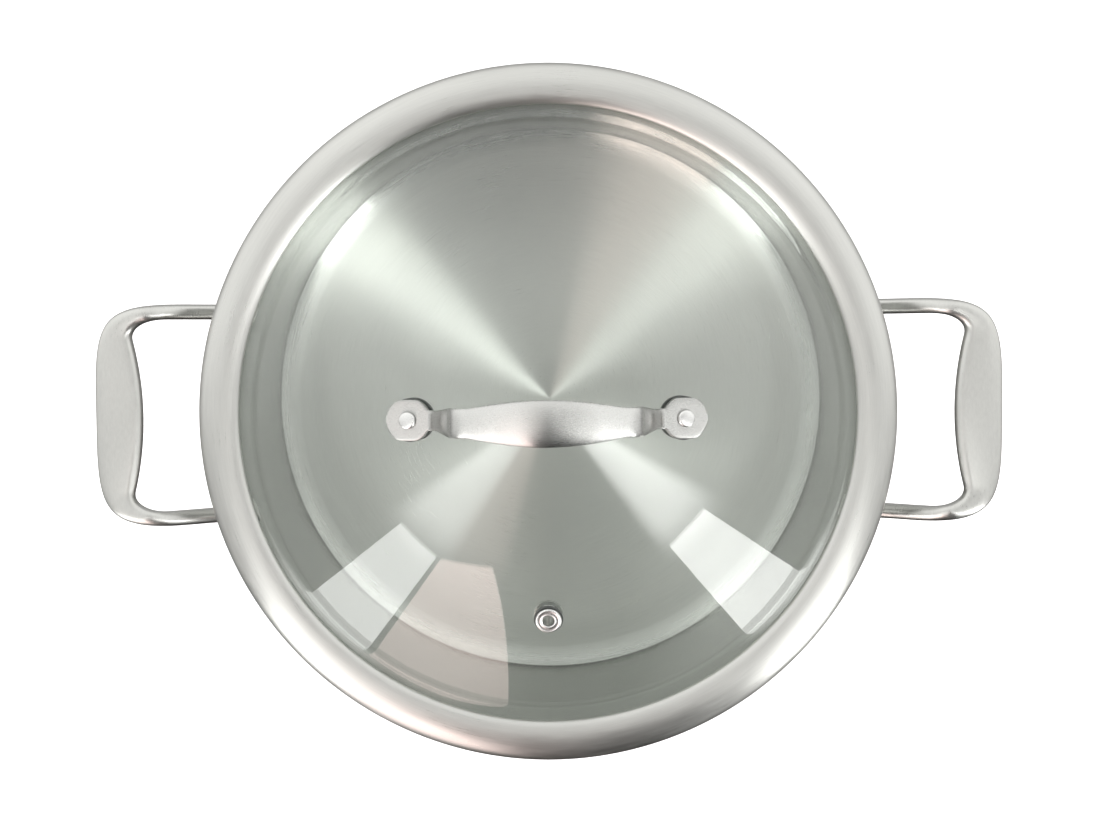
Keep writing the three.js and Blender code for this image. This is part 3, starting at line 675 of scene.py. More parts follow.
def ranged(tree, value, low, high, start=0.3, end=0.7):
    sockets = {"Value": value, "From Min": start, "From Max": end, "To Min": low, "To Max": high}
    return add_node(tree, "ShaderNodeMapRange", sockets).outputs["Result"]


def shaded(tree, value, base, spread):
    """A colour that wanders by a share of itself, as value goes from 0.3 to 0.7."""
    sockets = {0: ranged(tree, value, 0.0, 1.0), 6: [c * (1 - spread) for c in base[:3]] + [1.0]}
    sockets[7] = [min(c * (1 + spread), 1.0) for c in base[:3]] + [1.0]
    return add_node(tree, "ShaderNodeMix", sockets, data_type="RGBA").outputs[2]


def new_material(name):
    material = bpy.data.materials.new(name)
    material.use_nodes = True
    material.node_tree.nodes.clear()
    return material


def object_place(tree):
    return add_node(tree, "ShaderNodeTexCoord").outputs["Object"]


def object_part(tree, axis):
    return add_node(tree, "ShaderNodeSeparateXYZ", {0: object_place(tree)}).outputs[axis]


def steel_into_painted_shade(tree, fine, part, first, second):
    """The colour of a steel that changes into a darker copy, painted shade, as part goes from 0 to 1."""
    first_shade = shaded(tree, fine, first, COLOUR_SPREAD)
    shaded_copy = shaded(tree, fine, second, COLOUR_SPREAD)
    sockets = {0: part, 6: first_shade, 7: shaded_copy}
    return add_node(tree, "ShaderNodeMix", sockets, data_type="RGBA").outputs[2]


def round_lines(tree, per_metre, stretch):
    """Coordinates of lines that run round Z: close together across, stretched along."""
    parts = add_node(tree, "ShaderNodeSeparateXYZ", {0: object_place(tree)}).outputs
    flat = add_node(tree, "ShaderNodeCombineXYZ", {"X": parts["X"], "Y": parts["Y"]}).outputs[0]
    radius = add_node(tree, "ShaderNodeVectorMath", {0: flat}, operation="LENGTH").outputs["Value"]
    across = math_node(tree, "MULTIPLY", math_node(tree, "ADD", radius, parts["Z"]), per_metre)
    around = vector_node(tree, "NORMALIZE", flat)
    stretched = vector_node(tree, "MULTIPLY", around, (stretch, stretch, stretch))
    climb = add_node(tree, "ShaderNodeCombineXYZ", {"Z": across}).outputs[0]
    return vector_node(tree, "ADD", stretched, climb)


def straight_lines(tree, scale):
    """Coordinates stretched by a scale for each axis."""
    return vector_node(tree, "MULTIPLY", object_place(tree), scale)


def steel(name, base, roughness, anisotropy, lines, axis, turn, bump):
    """Brushed metal: lines gives the coordinates of the brush marks, axis and turn the way that they run.

    base is a colour, or a function that makes a socket from the brush marks; roughness is a number, or a
    function that makes a socket in the material's tree.
    """
    material = new_material(name)
    tree = material.node_tree
    marks = lines(tree)
    fine = noise(tree, marks, 1.0, detail=5.0, roughness=0.7)
    handled = noise(tree, object_place(tree), PATCH_SCALE, detail=2.0)
    from_patches = ranged(tree, handled, *PATCH_ROUGHNESS)
    wander = math_node(tree, "ADD", ranged(tree, fine, *MARK_ROUGHNESS), from_patches)
    relief = add_node(tree, "ShaderNodeBump", {"Strength": bump, "Distance": MARK_DEPTH, "Height": fine})
    tangent = add_node(tree, "ShaderNodeTangent", direction_type="RADIAL", axis=axis)
    level = roughness(tree) if callable(roughness) else roughness
    sockets = {
        "Base Color": base(tree, fine) if callable(base) else shaded(tree, fine, base, COLOUR_SPREAD),
        "Metallic": 1.0,
        "Roughness": math_node(tree, "ADD", wander, level),
        "Anisotropic": anisotropy,
        "Anisotropic Rotation": turn,
        "Normal": relief.outputs[0],
        "Tangent": tangent.outputs[0],
    }
    shader = add_node(tree, "ShaderNodeBsdfPrincipled", sockets)
    add_node(tree, "ShaderNodeOutputMaterial", {"Surface": shader.outputs[0]})
    return material


def turned_steel(name, base, roughness, anisotropy, per_metre=TURNED_LINES, bump=TURNED_RELIEF):
    """Metal brushed round the Z axis."""

    def lines(tree):
        return round_lines(tree, per_metre, TURNED_STRETCH)

    return steel(name, base, roughness, anisotropy, lines, "Z", ACROSS_TANGENT, bump)


def bright_steel(name, finishes):
    """Polished metal with faint turning marks."""
    shade = finishes.polished_colour
    return turned_steel(name, shade, finishes.polished_roughness, NO_BRUSH, BRIGHT_LINES, BRIGHT_RELIEF)


def washer_steel(name, finishes):
    """Plain metal of the washers under the glass."""
    return turned_steel(name, finishes.satin_colour, finishes.band_roughness, PLAIN_BRUSH)


def loop_steel(finishes):
    """Cast metal blasted and brushed round the loop."""
    return steel(
        "loop_satin_steel", finishes.satin_colour, finishes.loop_roughness, LOOP_BRUSH,
        lambda tree: straight_lines(tree, LOOP_LINES), "Z", ACROSS_TANGENT, LOOP_RELIEF,
    )


def strap_steel(settings):
    """Pressed metal, brushed along the strap and then polished, with painted shade darkening its tabs."""
    finishes = settings.finishes
    tab_end = settings.grip.rivet_spacing / 2 - settings.grip.tab_inner

    # The tabs take a darker copy of the strap's colour as painted shade
    def base(tree, fine):
        reach = math_node(tree, "ABSOLUTE", object_part(tree, "X"))
        tab_shade_share = ranged(tree, reach, 0.0, 1.0, tab_end - TAB_FADE, tab_end + TAB_FADE)
        return steel_into_painted_shade(tree, fine, tab_shade_share, finishes.strap_colour, finishes.shaded_tab_colour)

    return steel(
        "grip_polished_steel", base, finishes.strap_roughness, FULL_BRUSH,
        lambda tree: straight_lines(tree, STRAP_LINES), "Y", ACROSS_TANGENT, STRAP_RELIEF,
    )


def silicone_material(finishes):
    """Soft dark rubber with a fine moulded grain."""
    material = new_material("dark_silicone")
    tree = material.node_tree
    grain = noise(tree, object_place(tree), GRAIN_SCALE, detail=2.0)
    cloud = noise(tree, object_place(tree), CLOUD_SCALE)
    depth = {"Strength": GRAIN_RELIEF, "Distance": MARK_DEPTH}
    relief = add_node(tree, "ShaderNodeBump", {**depth, "Height": grain})
    sockets = {
        "Base Color": shaded(tree, cloud, finishes.silicone_colour, CLOUD_SPREAD),
        "Roughness": ranged(tree, grain, *SILICONE_ROUGHNESS),
        "IOR": SILICONE_IOR,
        "Normal": relief.outputs[0],
    }
    shader = add_node(tree, "ShaderNodeBsdfPrincipled", sockets)
    add_node(tree, "ShaderNodeOutputMaterial", {"Surface": shader.outputs[0]})
    return material


def glass_material(finishes):
    """Tempered glass with a faint green tint and the slight swell of pressing; lamps shine through it."""
    material = new_material("lid_tempered_glass")
    tree = material.node_tree
    swell = noise(tree, object_place(tree), SWELL_SCALE, detail=1.0)
    wiped = noise(tree, straight_lines(tree, WIPE_LINES), 1.0, detail=4.0)
    depth = {"Strength": SWELL_RELIEF, "Distance": SWELL_DEPTH}
    relief = add_node(tree, "ShaderNodeBump", {**depth, "Height": swell})
    sockets = {
        "Base Color": shaded(tree, wiped, finishes.glass_colour, WIPED_SPREAD),
        "Roughness": ranged(tree, wiped, *GLASS_ROUGHNESS),
        "IOR": GLASS_IOR,
        "Transmission Weight": 1.0,
        "Normal": relief.outputs[0],
    }
    shader = add_node(tree, "ShaderNodeBsdfPrincipled", sockets)
    clear = add_node(tree, "ShaderNodeBsdfTransparent", {"Color": finishes.glass_colour})
    rays = add_node(tree, "ShaderNodeLightPath").outputs["Is Shadow Ray"]
    both = add_node(tree, "ShaderNodeMixShader", {0: rays, 1: shader.outputs[0], 2: clear.outputs[0]})
    add_node(tree, "ShaderNodeOutputMaterial", {"Surface": both.outputs[0]})
    return material


def floor_material(studio):
    """A pale sweep that glows a little, as one lit from below."""
    material = new_material("pale_floor")
    tree = material.node_tree
    cloud = noise(tree, object_place(tree), FLOOR_CLOUDS)
    sockets = {
        "Base Color": shaded(tree, cloud, studio.floor_colour, FLOOR_SPREAD),
        "Roughness": FLOOR_ROUGHNESS,
        "Specular IOR Level": 0.0,
        "Emission Color": (1.0, 1.0, 1.0, 1.0),
        "Emission Strength": studio.floor_glow,
    }
    shader = add_node(tree, "ShaderNodeBsdfPrincipled", sockets)
    add_node(tree, "ShaderNodeOutputMaterial", {"Surface": shader.outputs[0]})
    return material


# Pot


def corner_bowl(body):
    """Radius and centre of the bow between floor and wall."""
    pot = body_places(body)
    bowl = body.corner_width / (math.sin(body.corner_end) - math.sin(body.corner_start))
    centre = (
        pot.flat_radius - bowl * math.sin(body.corner_start),
        pot.floor_top + bowl * math.cos(body.corner_start),
    )
    return bowl, centre


def pot_shape(settings):
    body = settings.body
    pot = body_places(body)
    half = body.wall / 2
    bowl, centre = corner_bowl(body)
    bend = body.rim_bend - half
    wall_middle = pot.inner_radius + half
    gentlest = math.degrees(body.corner_start)
    steepest = math.degrees(math.asin((wall_middle - centre[0]) / (bowl + half)))
    middle = [
        (0, pot.floor_top - half),
        *arc(centre, (bowl + half, bowl + half), 270 + gentlest, 270 + steepest),
        *arc((wall_middle + bend, pot.rim_top - half - bend), (bend, bend), 180, 90),
        (pot.rim_radius - half, pot.rim_top - half),
    ]
    return turned(sheet_outline(spaced(middle), body.wall))


def foot_azimuths(settings):
    """The four feet by name, with the azimuth of each."""
    azimuth = loop_places(settings).azimuth
    return {
        "right_rear": azimuth,
        "right_front": -azimuth,
        "left_rear": math.pi - azimuth,
        "left_front": math.pi + azimuth,
    }


def foot_hole(settings, azimuth):
    loops = settings.loops
    places = loop_places(settings)
    shape = rod(loops.rivet_radius + HOLE_CLEARANCE, places.foot_inner / 2, places.reach)
    return new_object("foot_hole", shape, wall_matrix(azimuth, places.rivet_height))


class StewPotAddBody(bpy.types.Operator):
    """Add the drawn pot with its floor, wall and turned-out rim"""

    bl_idname = "stew_pot.add_body"
    bl_label = "Pot Body"

    def execute(self, context):
        settings = context.scene.stew_pot
        finishes = settings.finishes
        pot = new_object("pot_shell", pot_shape(settings))
        combine(pot, [foot_hole(settings, a) for a in foot_azimuths(settings).values()], "DIFFERENCE")
        floor = body_places(settings.body).floor_top
        bowl, centre = corner_bowl(settings.body)
        corner = centre[1] - bowl * math.cos(settings.body.corner_end)

        def up_wall(tree, low, high):
            return ranged(tree, object_part(tree, "Z"), low, high, floor, corner)

        def roughness(tree):
            return up_wall(tree, finishes.brushed_roughness, finishes.wall_roughness)

        # Above the corner the wall takes a darker copy of the floor's colour as painted shade
        def base(tree, fine):
            wall_shade_share = up_wall(tree, 0.0, 1.0)
            return steel_into_painted_shade(tree, fine, wall_shade_share, finishes.brushed_colour, finishes.shaded_wall_colour)

        metal = turned_steel("pot_brushed_steel", base, roughness, FULL_BRUSH)
        finish_piece(pot, "pot_body", metal, "brushed_steel")
        return {"FINISHED"}


class StewPotAddBase(bpy.types.Operator):
    """Add the steel dish and the aluminium disc of the base"""

    bl_idname = "stew_pot.add_base"
    bl_label = "Base"

    def execute(self, context):
        settings = context.scene.stew_pot
        body = settings.body
        finishes = settings.finishes
        half = body.cap_thickness / 2
        bend = body.cap_fillet - half
        middle = [
            (0, half),
            *arc((CAP_HIGH.x - body.cap_fillet, body.cap_fillet), (bend, bend), 270, 360, EDGE_STEPS),
            (CAP_HIGH.x - half, CAP_HIGH.z - half),
        ]
        dish = new_object("base_dish", turned(sheet_outline(spaced(middle), body.cap_thickness)))
        satin = finishes.satin_colour
        metal = turned_steel("base_satin_steel", satin, finishes.band_roughness, DISH_BRUSH)
        finish_piece(dish, "base_cap", metal, "satin_steel")

        chamfer = body.cap_fillet - body.cap_thickness
        corners = [
            (0, CORE_LOW.z, 0),
            (CORE_HIGH.x, CORE_LOW.z, chamfer),
            (CORE_HIGH.x, CORE_HIGH.z, chamfer / 4),
            (0, CORE_HIGH.z, 0),
        ]
        disc = new_object("base_disc", turned(softened(corners)))
        aluminium = finishes.aluminium_colour
        milled = turned_steel("milled_aluminium", aluminium, finishes.brushed_roughness, PLAIN_BRUSH)
        finish_piece(disc, "base_core", milled, "aluminium_core")
        return {"FINISHED"}


# Side handles

# Powers of the sections, and how far the grip thins towards its inner edge
ARM_POWER = 2.2
GRIP_OUTER_POWER = 2.7
GRIP_INNER_POWER = 6.0
GRIP_INNER_FALL = 0.4

# Sections along half a loop, and points along the corners of its edges
FLARE_STATIONS = 8
ARM_STATIONS = 14
CORNER_STATIONS = 36
GRIP_STATIONS = 28
EDGE_POINTS = 96

# How far from its foot an arm still follows the wall's curve, and the steps round a foot's soft edge
FLARE_FADE = 9 * MM
FOOT_EDGE_ANGLES = (0.4, 0.8, 1.2, math.pi / 2)


def outer_edge(settings):
    """Outer edge of a loop in plan: along the rear arm, round the corner and along the grip."""
    loops = settings.loops
    places = loop_places(settings)
    pull = loops.outer_corner * loops.outer_tightness
    start = Vector((places.reach - loops.outer_corner, places.half_width))
    end = Vector((places.reach, places.half_width - loops.outer_corner))
    handles = (start + Vector((pull, 0)), end + Vector((0, pull)))
    corner = [cubic(start, *handles, end, i / EDGE_POINTS) for i in range(EDGE_POINTS + 1)]
    return [Vector((0, places.half_width)), *corner, Vector((places.reach, -places.half_width))]


def inner_edge(settings):
    """Inner edge of a loop in plan, which bows towards the pot between the ends of the grip."""
    loops = settings.loops
    places = loop_places(settings)
    bow = loops.grip_width - loops.grip_end_width
    end = places.grip_end
    lean = Vector((2 * bow / end.y, 1))
    start = Vector((places.corner_pivot.x, places.arm_inner))
    first = start + Vector((loops.inner_corner_length * loops.inner_tightness, 0))
    second = end + lean * loops.inner_corner_depth * loops.inner_tightness
    corner = [cubic(start, first, second, end, i / EDGE_POINTS) for i in range(EDGE_POINTS)]
    shares = [1 - 2 * i / EDGE_POINTS for i in range(EDGE_POINTS + 1)]
    grip = [Vector((end.x - bow * (1 - part**2), end.y * part)) for part in shares]
    return [Vector((0, places.arm_inner)), *corner, *grip]


def loop_stations(settings):
    """Half a loop, from the wall to the middle of the grip: outer and inner edge, grip share, flare."""
    places = loop_places(settings)
    pivot = places.corner_pivot
    wall_x = math.sqrt(places.foot_outer**2 - places.arm_middle**2)
    fillet = settings.loops.foot_fillet
    upright = Vector((0, 1))
    level = Vector((1, 0))
    lines = [(Vector((wall_x - settings.loops.foot_thickness / 2, 0)), upright, 0.0, fillet)]
    for i in range(FLARE_STATIONS):
        angle = math.pi / 2 * i / FLARE_STATIONS
        x = wall_x + fillet * (1 - math.cos(angle))
        lines.append((Vector((x, 0)), upright, 0.0, fillet * (1 - math.sin(angle))))
    for i in range(ARM_STATIONS):
        x = mix(wall_x + fillet, pivot.x, i / ARM_STATIONS)
        lines.append((Vector((x, 0)), upright, 0.0, 0.0))
    for i in range(CORNER_STATIONS):
        part = i / CORNER_STATIONS
        angle = math.pi / 2 * (1 - part)
        reach = Vector((places.reach, places.half_width)) - pivot
        heading = Vector((reach.x * math.cos(angle), reach.y * math.sin(angle)))
        lines.append((pivot, heading, smooth(part, 0, 1), 0.0))
    for i in range(GRIP_STATIONS + 1):
        lines.append((Vector((pivot.x, pivot.y * (1 - i / GRIP_STATIONS))), level, 1.0, 0.0))
    outer = outer_edge(settings)
    inner = inner_edge(settings)
    return [(meet(outer, at, way), meet(inner, at, way), grip, flare) for at, way, grip, flare in lines]


def loop_section(settings, station, side):
    """One ring of the loop; near the wall it widens into the foot and follows the wall's curve."""
    loops = settings.loops
    places = loop_places(settings)
    outer, inner, grip, flare = station
    wall_x = math.sqrt(places.foot_outer**2 - places.arm_middle**2)
    level_x = places.reach - loops.grip_width
    centre = (outer + inner) / 2
    half = (outer - inner) / 2
    half += half.normalized() * flare
    height = places.arm_root + loops.arm_rise * smooth(centre.x, wall_x, level_x)
    rise_half = mix(loops.arm_height, loops.grip_thickness, grip) / 2 + flare
    bend = 1 - smooth(centre.x, wall_x, wall_x + FLARE_FADE)
    points = []
    for i in range(SECTION_POINTS):
        angle = math.tau * i / SECTION_POINTS
        end_power = GRIP_OUTER_POWER if math.cos(angle) > 0 else GRIP_INNER_POWER
        power = mix(ARM_POWER, end_power, grip)
        flat = centre + half * signed_power(math.cos(angle), power)
        wrap = math.sqrt(places.foot_outer**2 - min(flat.y, places.foot_outer) ** 2) - wall_x
        fall = GRIP_INNER_FALL * grip * min(math.cos(angle), 0.0) ** 2
        lift = rise_half * signed_power(math.sin(angle), power) * (1 - fall)
        points.append(Vector((flat.x + bend * wrap, side * flat.y, height + lift)))
    return points


def foot_shape(settings, azimuth):
    """A rounded plate bent to the wall, with a soft outer edge."""
    loops = settings.loops
    places = loop_places(settings)
    radius = loops.foot_width / 2
    top = loops.foot_above_arm - radius
    bottom = loops.foot_above_arm - loops.foot_height + radius
    edge = loops.foot_thickness / 2
    layers = [(0.0, 0.0), (edge, 0.0)]
    layers += [(edge + edge * math.sin(a), edge * (1 - math.cos(a))) for a in FOOT_EDGE_ANGLES]
    rings = []
    for rise, inset in layers:
        reach = radius - inset
        outline = arc((0, top), (reach, reach), 0, 180) + arc((0, bottom), (reach, reach), 180, 360)
        ring = []
        for x, y in outline:
            angle = azimuth + x / places.foot_outer
            out = places.foot_inner + rise
            ring.append(Vector((out * math.cos(angle), out * math.sin(angle), places.arm_root + y)))
        rings.append(ring)
    return lofted(rings)


def loop_shape(settings):
    stations = loop_stations(settings)
    rear = [loop_section(settings, station, 1) for station in stations]
    front = [loop_section(settings, station, -1) for station in reversed(stations[:-1])]
    return lofted(rear + front)


class StewPotAddSideHandles(bpy.types.Operator):
    """Add the two cast loop handles with their feet"""

    bl_idname = "stew_pot.add_side_handles"
    bl_label = "Side Handles"

    def execute(self, context):
        settings = context.scene.stew_pot
        azimuth = loop_places(settings).azimuth
        metal = loop_steel(settings.finishes)
        for side, turn in (("right", 0.0), ("left", math.pi)):
            loop = new_object(f"loop_handle_{side}", loop_shape(settings))
            feet = [new_object("foot", foot_shape(settings, a)) for a in (azimuth, -azimuth)]
            holes = [foot_hole(settings, a) for a in (azimuth, -azimuth)]
            combine(loop, feet, "UNION")
            combine(loop, holes, "DIFFERENCE")
            finish_piece(loop, f"side_handle_{side}", metal, "satin_steel", Matrix.Rotation(turn, 4, "Z"))
        return {"FINISHED"}


# Shares of a rivet head's radius where its crown has a ring of points
CROWN_PARTS = (0.75, 0.5, 0.25, 0.0)


def rivet_shape(shank, head, tail, height, lower, upper):
    """A rivet along Z, with a softly crowned head above its upper seat and a like tail below the lower."""
    crown = height / 5
    corners = [(tail * part, lower - height + crown * part**2, 0) for part in reversed(CROWN_PARTS)]
    corners += [(tail, lower - height + crown, height / 2), (tail, lower, 0), (shank, lower, 0)]
    corners += [(shank, upper, 0), (head, upper, 0), (head, upper + height - crown, height / 2)]
    corners += [(head * part, upper + height - crown * part**2, 0) for part in CROWN_PARTS]
    return turned(softened(corners), SMALL_STEPS)


class StewPotAddFootRivets(bpy.types.Operator):
    """Add the rivets that hold the side handles to the wall"""

    bl_idname = "stew_pot.add_foot_rivets"
    bl_label = "Side Handle Rivets"

    def execute(self, context):
        settings = context.scene.stew_pot
        loops = settings.loops
        places = loop_places(settings)
        metal = bright_steel("rivet_steel", settings.finishes)
        inner_seat = body_places(settings.body).inner_radius - SEAT_GAP
        outer_seat = places.foot_outer + SEAT_GAP
        head = loops.rivet_head_radius
        height = loops.rivet_head_height
        for name, azimuth in foot_azimuths(settings).items():
            shape = rivet_shape(loops.rivet_radius, head, head, height, inner_seat, outer_seat)
            rivet = new_object(f"foot_rivet_{name}", shape)
            place = wall_matrix(azimuth, places.rivet_height)
            finish_piece(rivet, f"handle_rivet_{name}", metal, "polished_steel", place)
        return {"FINISHED"}


# Lid


def band_shape(settings):
    """One rolled strip: lip under the glass, bead, flange on the rim, hem, domed top, lip on the glass."""
    lid = settings.lid
    places = lid_places(settings)
    half = lid.band_sheet / 2
    bend = lid.strip_bend
    bead = lid.bead_radius
    lower_lip = places.brim_bottom - SEAT_GAP - half
    flange = places.seat + half
    step = body_places(settings.body).inner_radius - MOUTH_CLEARANCE - half
    bead_inner = step - 2 * bead
    bead_centre = places.seat - lid.bead_depth + half + bead
    hem = lid.hem_radius
    hem_centre = BAND_HIGH.x - half - hem
    hem_top = flange + hem
    crest = places.seat + lid.band_crest - half
    crest_radius = places.lip_radius + lid.crest_inset
    crest_reach = BAND_HIGH.x - half - crest_radius
    middle = [
        (places.lip_radius + lid.lower_lip_inset, lower_lip),
        *arc((bead_inner - bend, lower_lip - bend), (bend, bend), 90, 0, EDGE_STEPS),
        *arc((step - bead, bead_centre), (bead, bead), 180, 360, ARC_STEPS),
        *arc((step + bend, flange - bend), (bend, bend), 180, 90, EDGE_STEPS),
        *arc((hem_centre, hem_top), (hem, hem), 270, 360, EDGE_STEPS)[:-1],
        *arc((crest_radius, hem_top), (crest_reach, crest - hem_top), 0, 90, 2 * ARC_STEPS)[:-1],
        *arc((crest_radius, places.lip_middle), (lid.crest_inset, lid.lip_drop), 90, 180, ARC_STEPS),
    ]
    return turned(sheet_outline(middle, lid.band_sheet))


class StewPotAddBand(bpy.types.Operator):
    """Add the rolled steel band round the glass"""

    bl_idname = "stew_pot.add_band"
    bl_label = "Lid Band"

    def execute(self, context):
        settings = context.scene.stew_pot
        finishes = settings.finishes
        band = new_object("lid_ring", band_shape(settings))
        satin = finishes.satin_colour
        metal = turned_steel("band_satin_steel", satin, finishes.band_roughness, BAND_BRUSH)
        finish_piece(band, "lid_band", metal, "satin_steel")
        return {"FINISHED"}


# The dome stops short of its soft corner by this many times the corner's reach
BLEND_MARGIN = 1.5


def glass_shape(settings):
    lid = settings.lid
    places = lid_places(settings)
    inner_radius = lid.dome_radius - lid.glass_thickness
    under_edge = math.sqrt(inner_radius**2 - (places.brim_bottom - places.dome_centre) ** 2)
    margin = BLEND_MARGIN * lid.brim_blend

    def dome(radius, edge):
        """The dome's outline from the axis nearly to its edge."""
        foot = math.degrees(math.acos((edge - margin) / radius))
        return arc((0, places.dome_centre), (radius, radius), 90, foot, 2 * ARC_STEPS)

    lower = dome(inner_radius, under_edge)
    upper = reversed(dome(lid.dome_radius, places.dome_edge))
    rim = lid.glass_thickness / 4
    corners = [
        *[(max(r, 0), z, 0) for r, z in lower],
        (under_edge, places.brim_bottom, lid.brim_blend),
        (places.glass_radius, places.brim_bottom, rim),
        (places.glass_radius, places.brim_top, rim),
        (places.dome_edge, places.brim_top, lid.brim_blend),
        *[(max(r, 0), z, 0) for r, z in upper],
    ]
    return turned(softened(corners))


def glass_hole(settings, radius, x, y):
    reach = 2 * settings.lid.glass_thickness
    return new_object("glass_hole", rod(radius + HOLE_CLEARANCE, -reach, reach), dome_matrix(settings, x, y))


class StewPotAddGlass(bpy.types.Operator):
    """Add the domed glass with its holes"""

    bl_idname = "stew_pot.add_glass"
    bl_label = "Lid Glass"

    def execute(self, context):
        settings = context.scene.stew_pot
        glass = new_object("lid_dome", glass_shape(settings))
        rivet_x = settings.grip.rivet_spacing / 2
        sleeve = fastening_places(settings).sleeve_outer
        holes = [glass_hole(settings, sleeve, x, 0) for x in (rivet_x, -rivet_x)]
        vent = vent_places(settings.lid).sleeve_outer
        holes.append(glass_hole(settings, vent, 0, -settings.lid.vent_offset))
        combine(glass, holes, "DIFFERENCE")
        finish_piece(glass, "lid_glass", glass_material(settings.finishes), "lid_glass")
        return {"FINISHED"}


# Lid handle

# Powers of the sections and their count along half the strap
TAB_POWER = 7.0
RISER_POWER = 4.5
ARCH_TOP_POWER = 2.1
ARCH_UNDER_POWER = 3.4
TAB_STATIONS = 32
BEND_STATIONS = 12
ARCH_STATIONS = 40


def strap_stations(settings):
    """Half the strap, from a tab's outer end to the arch's middle: place in XZ, width, thickness, powers."""
    grip = settings.grip
    stack = fastening_places(settings)
    rivet_x = grip.rivet_spacing / 2
    tilt = math.asin(rivet_x / settings.lid.dome_radius)
    along = Vector((math.cos(tilt), -math.sin(tilt)))
    normal = Vector((math.sin(tilt), math.cos(tilt)))
    rivet = Vector((rivet_x, dome_height(settings, rivet_x)))
    tab_middle = rivet + normal * (stack.tab_bottom + stack.tab_top) / 2

    def tab_point(distance):
        return tab_middle + along * distance

    stations = []

    def station(place, width, thickness, top, under):
        stations.append(SimpleNamespace(place=place, width=width, thickness=thickness, top=top, under=under))

    last = math.acos(-grip.tab_inner / grip.tab_radius)
    for i in range(1, TAB_STATIONS):
        angle = last * i / TAB_STATIONS
        width = -larger(-grip.tab_width, -2 * grip.tab_radius * math.sin(angle), grip.tab_blend)
        if angle > math.pi / 2:
            width = larger(width, grip.neck_width, grip.shoulder_blend)
        station(tab_point(grip.tab_radius * math.cos(angle)), width, grip.tab_thickness, TAB_POWER, TAB_POWER)

    foot = tab_point(-grip.tab_inner - grip.foot_bend / 2)
    crease = Vector((foot.x - grip.riser_run, foot.y + grip.riser_height))
    rise = GRIP_HIGH.z - grip.thickness / 2 - crease.y
    arch_radius = (crease.x**2 + rise**2) / (2 * rise)
    arch_centre = crease.y + rise - arch_radius

    def arch_point(x):
        return Vector((x, arch_centre + math.sqrt(arch_radius**2 - x**2)))

    riser = (crease - foot).normalized()
    foot_end = foot + riser * grip.foot_bend
    crease_start = crease - riser * grip.crease_bend
    arch_start = arch_point(crease.x - grip.crease_bend)
    for i in range(BEND_STATIONS + 1):
        part = i / BEND_STATIONS
        thickness = mix(grip.tab_thickness, grip.riser_thickness, part)
        power = mix(TAB_POWER, RISER_POWER, part)
        place = bezier(tab_point(-grip.tab_inner), foot, foot_end, part)
        station(place, grip.neck_width, thickness, power, power)
    for i in range(BEND_STATIONS + 1):
        part = i / BEND_STATIONS
        width = grip.crease_width
        top = mix(RISER_POWER, ARCH_TOP_POWER, part)
        under = mix(RISER_POWER, ARCH_UNDER_POWER, part)
        station(bezier(crease_start, crease, arch_start, part), width, grip.riser_thickness, top, under)
    for i in range(1, ARCH_STATIONS + 1):
        part = i / ARCH_STATIONS
        swell = math.sin(math.pi / 2 * part)
        width = mix(grip.crease_width, grip.width, swell)
        thickness = mix(grip.riser_thickness, grip.thickness, swell)
        station(arch_point(arch_start.x * (1 - part)), width, thickness, ARCH_TOP_POWER, ARCH_UNDER_POWER)
    return stations


def strap_shape(settings):
    stations = strap_stations(settings)
    for near in reversed(stations[:-1]):
        place = Vector((-near.place.x, near.place.y))
        stations.append(SimpleNamespace(**{**vars(near), "place": place}))
    rings = []
    for i, here in enumerate(stations):
        before = stations[max(i - 1, 0)].place
        after = stations[min(i + 1, len(stations) - 1)].place
        along = (after - before).normalized()
        up = Vector((along.y, 0, -along.x))
        ring = []
        for k in range(SECTION_POINTS):
            angle = math.tau * k / SECTION_POINTS
            power = here.top if math.sin(angle) > 0 else here.under
            across = here.width / 2 * signed_power(math.cos(angle), power)
            rise = here.thickness / 2 * signed_power(math.sin(angle), power)
            ring.append(Vector((here.place.x, across, here.place.y)) + up * rise)
        rings.append(ring)
    return lofted(rings)


class StewPotAddGrip(bpy.types.Operator):
    """Add the lid handle, a pressed strap with two tabs"""

    bl_idname = "stew_pot.add_grip"
    bl_label = "Lid Handle"

    def execute(self, context):
        settings = context.scene.stew_pot
        grip = settings.grip
        strap = new_object("lid_grip", strap_shape(settings))
        holes = []
        for x in (grip.rivet_spacing / 2, -grip.rivet_spacing / 2):
            shape = rod(grip.rivet_radius + HOLE_CLEARANCE, 0, fastening_places(settings).tab_top + SEAT_GAP)
            holes.append(new_object("tab_hole", shape, dome_matrix(settings, x, 0)))
        combine(strap, holes, "DIFFERENCE")
        finish_piece(strap, "lid_handle", strap_steel(settings), "polished_steel")
        return {"FINISHED"}


GASKET_SOFTENING = 0.35 * MM
WASHER_SOFTENING = 0.15 * MM


def sleeved_gasket(sleeve_inner, sleeve_outer, sleeve_end, radius, top):
    """A silicone washer on the glass with a sleeve down into its hole."""
    corners = [
        (sleeve_inner, sleeve_end),
        (sleeve_outer, sleeve_end),
        (sleeve_outer, SEAT_GAP),
        (radius, SEAT_GAP),
        (radius, top),
        (sleeve_inner, top),
    ]
    return turned(softened([(r, z, GASKET_SOFTENING / 2) for r, z in corners]), SMALL_STEPS)


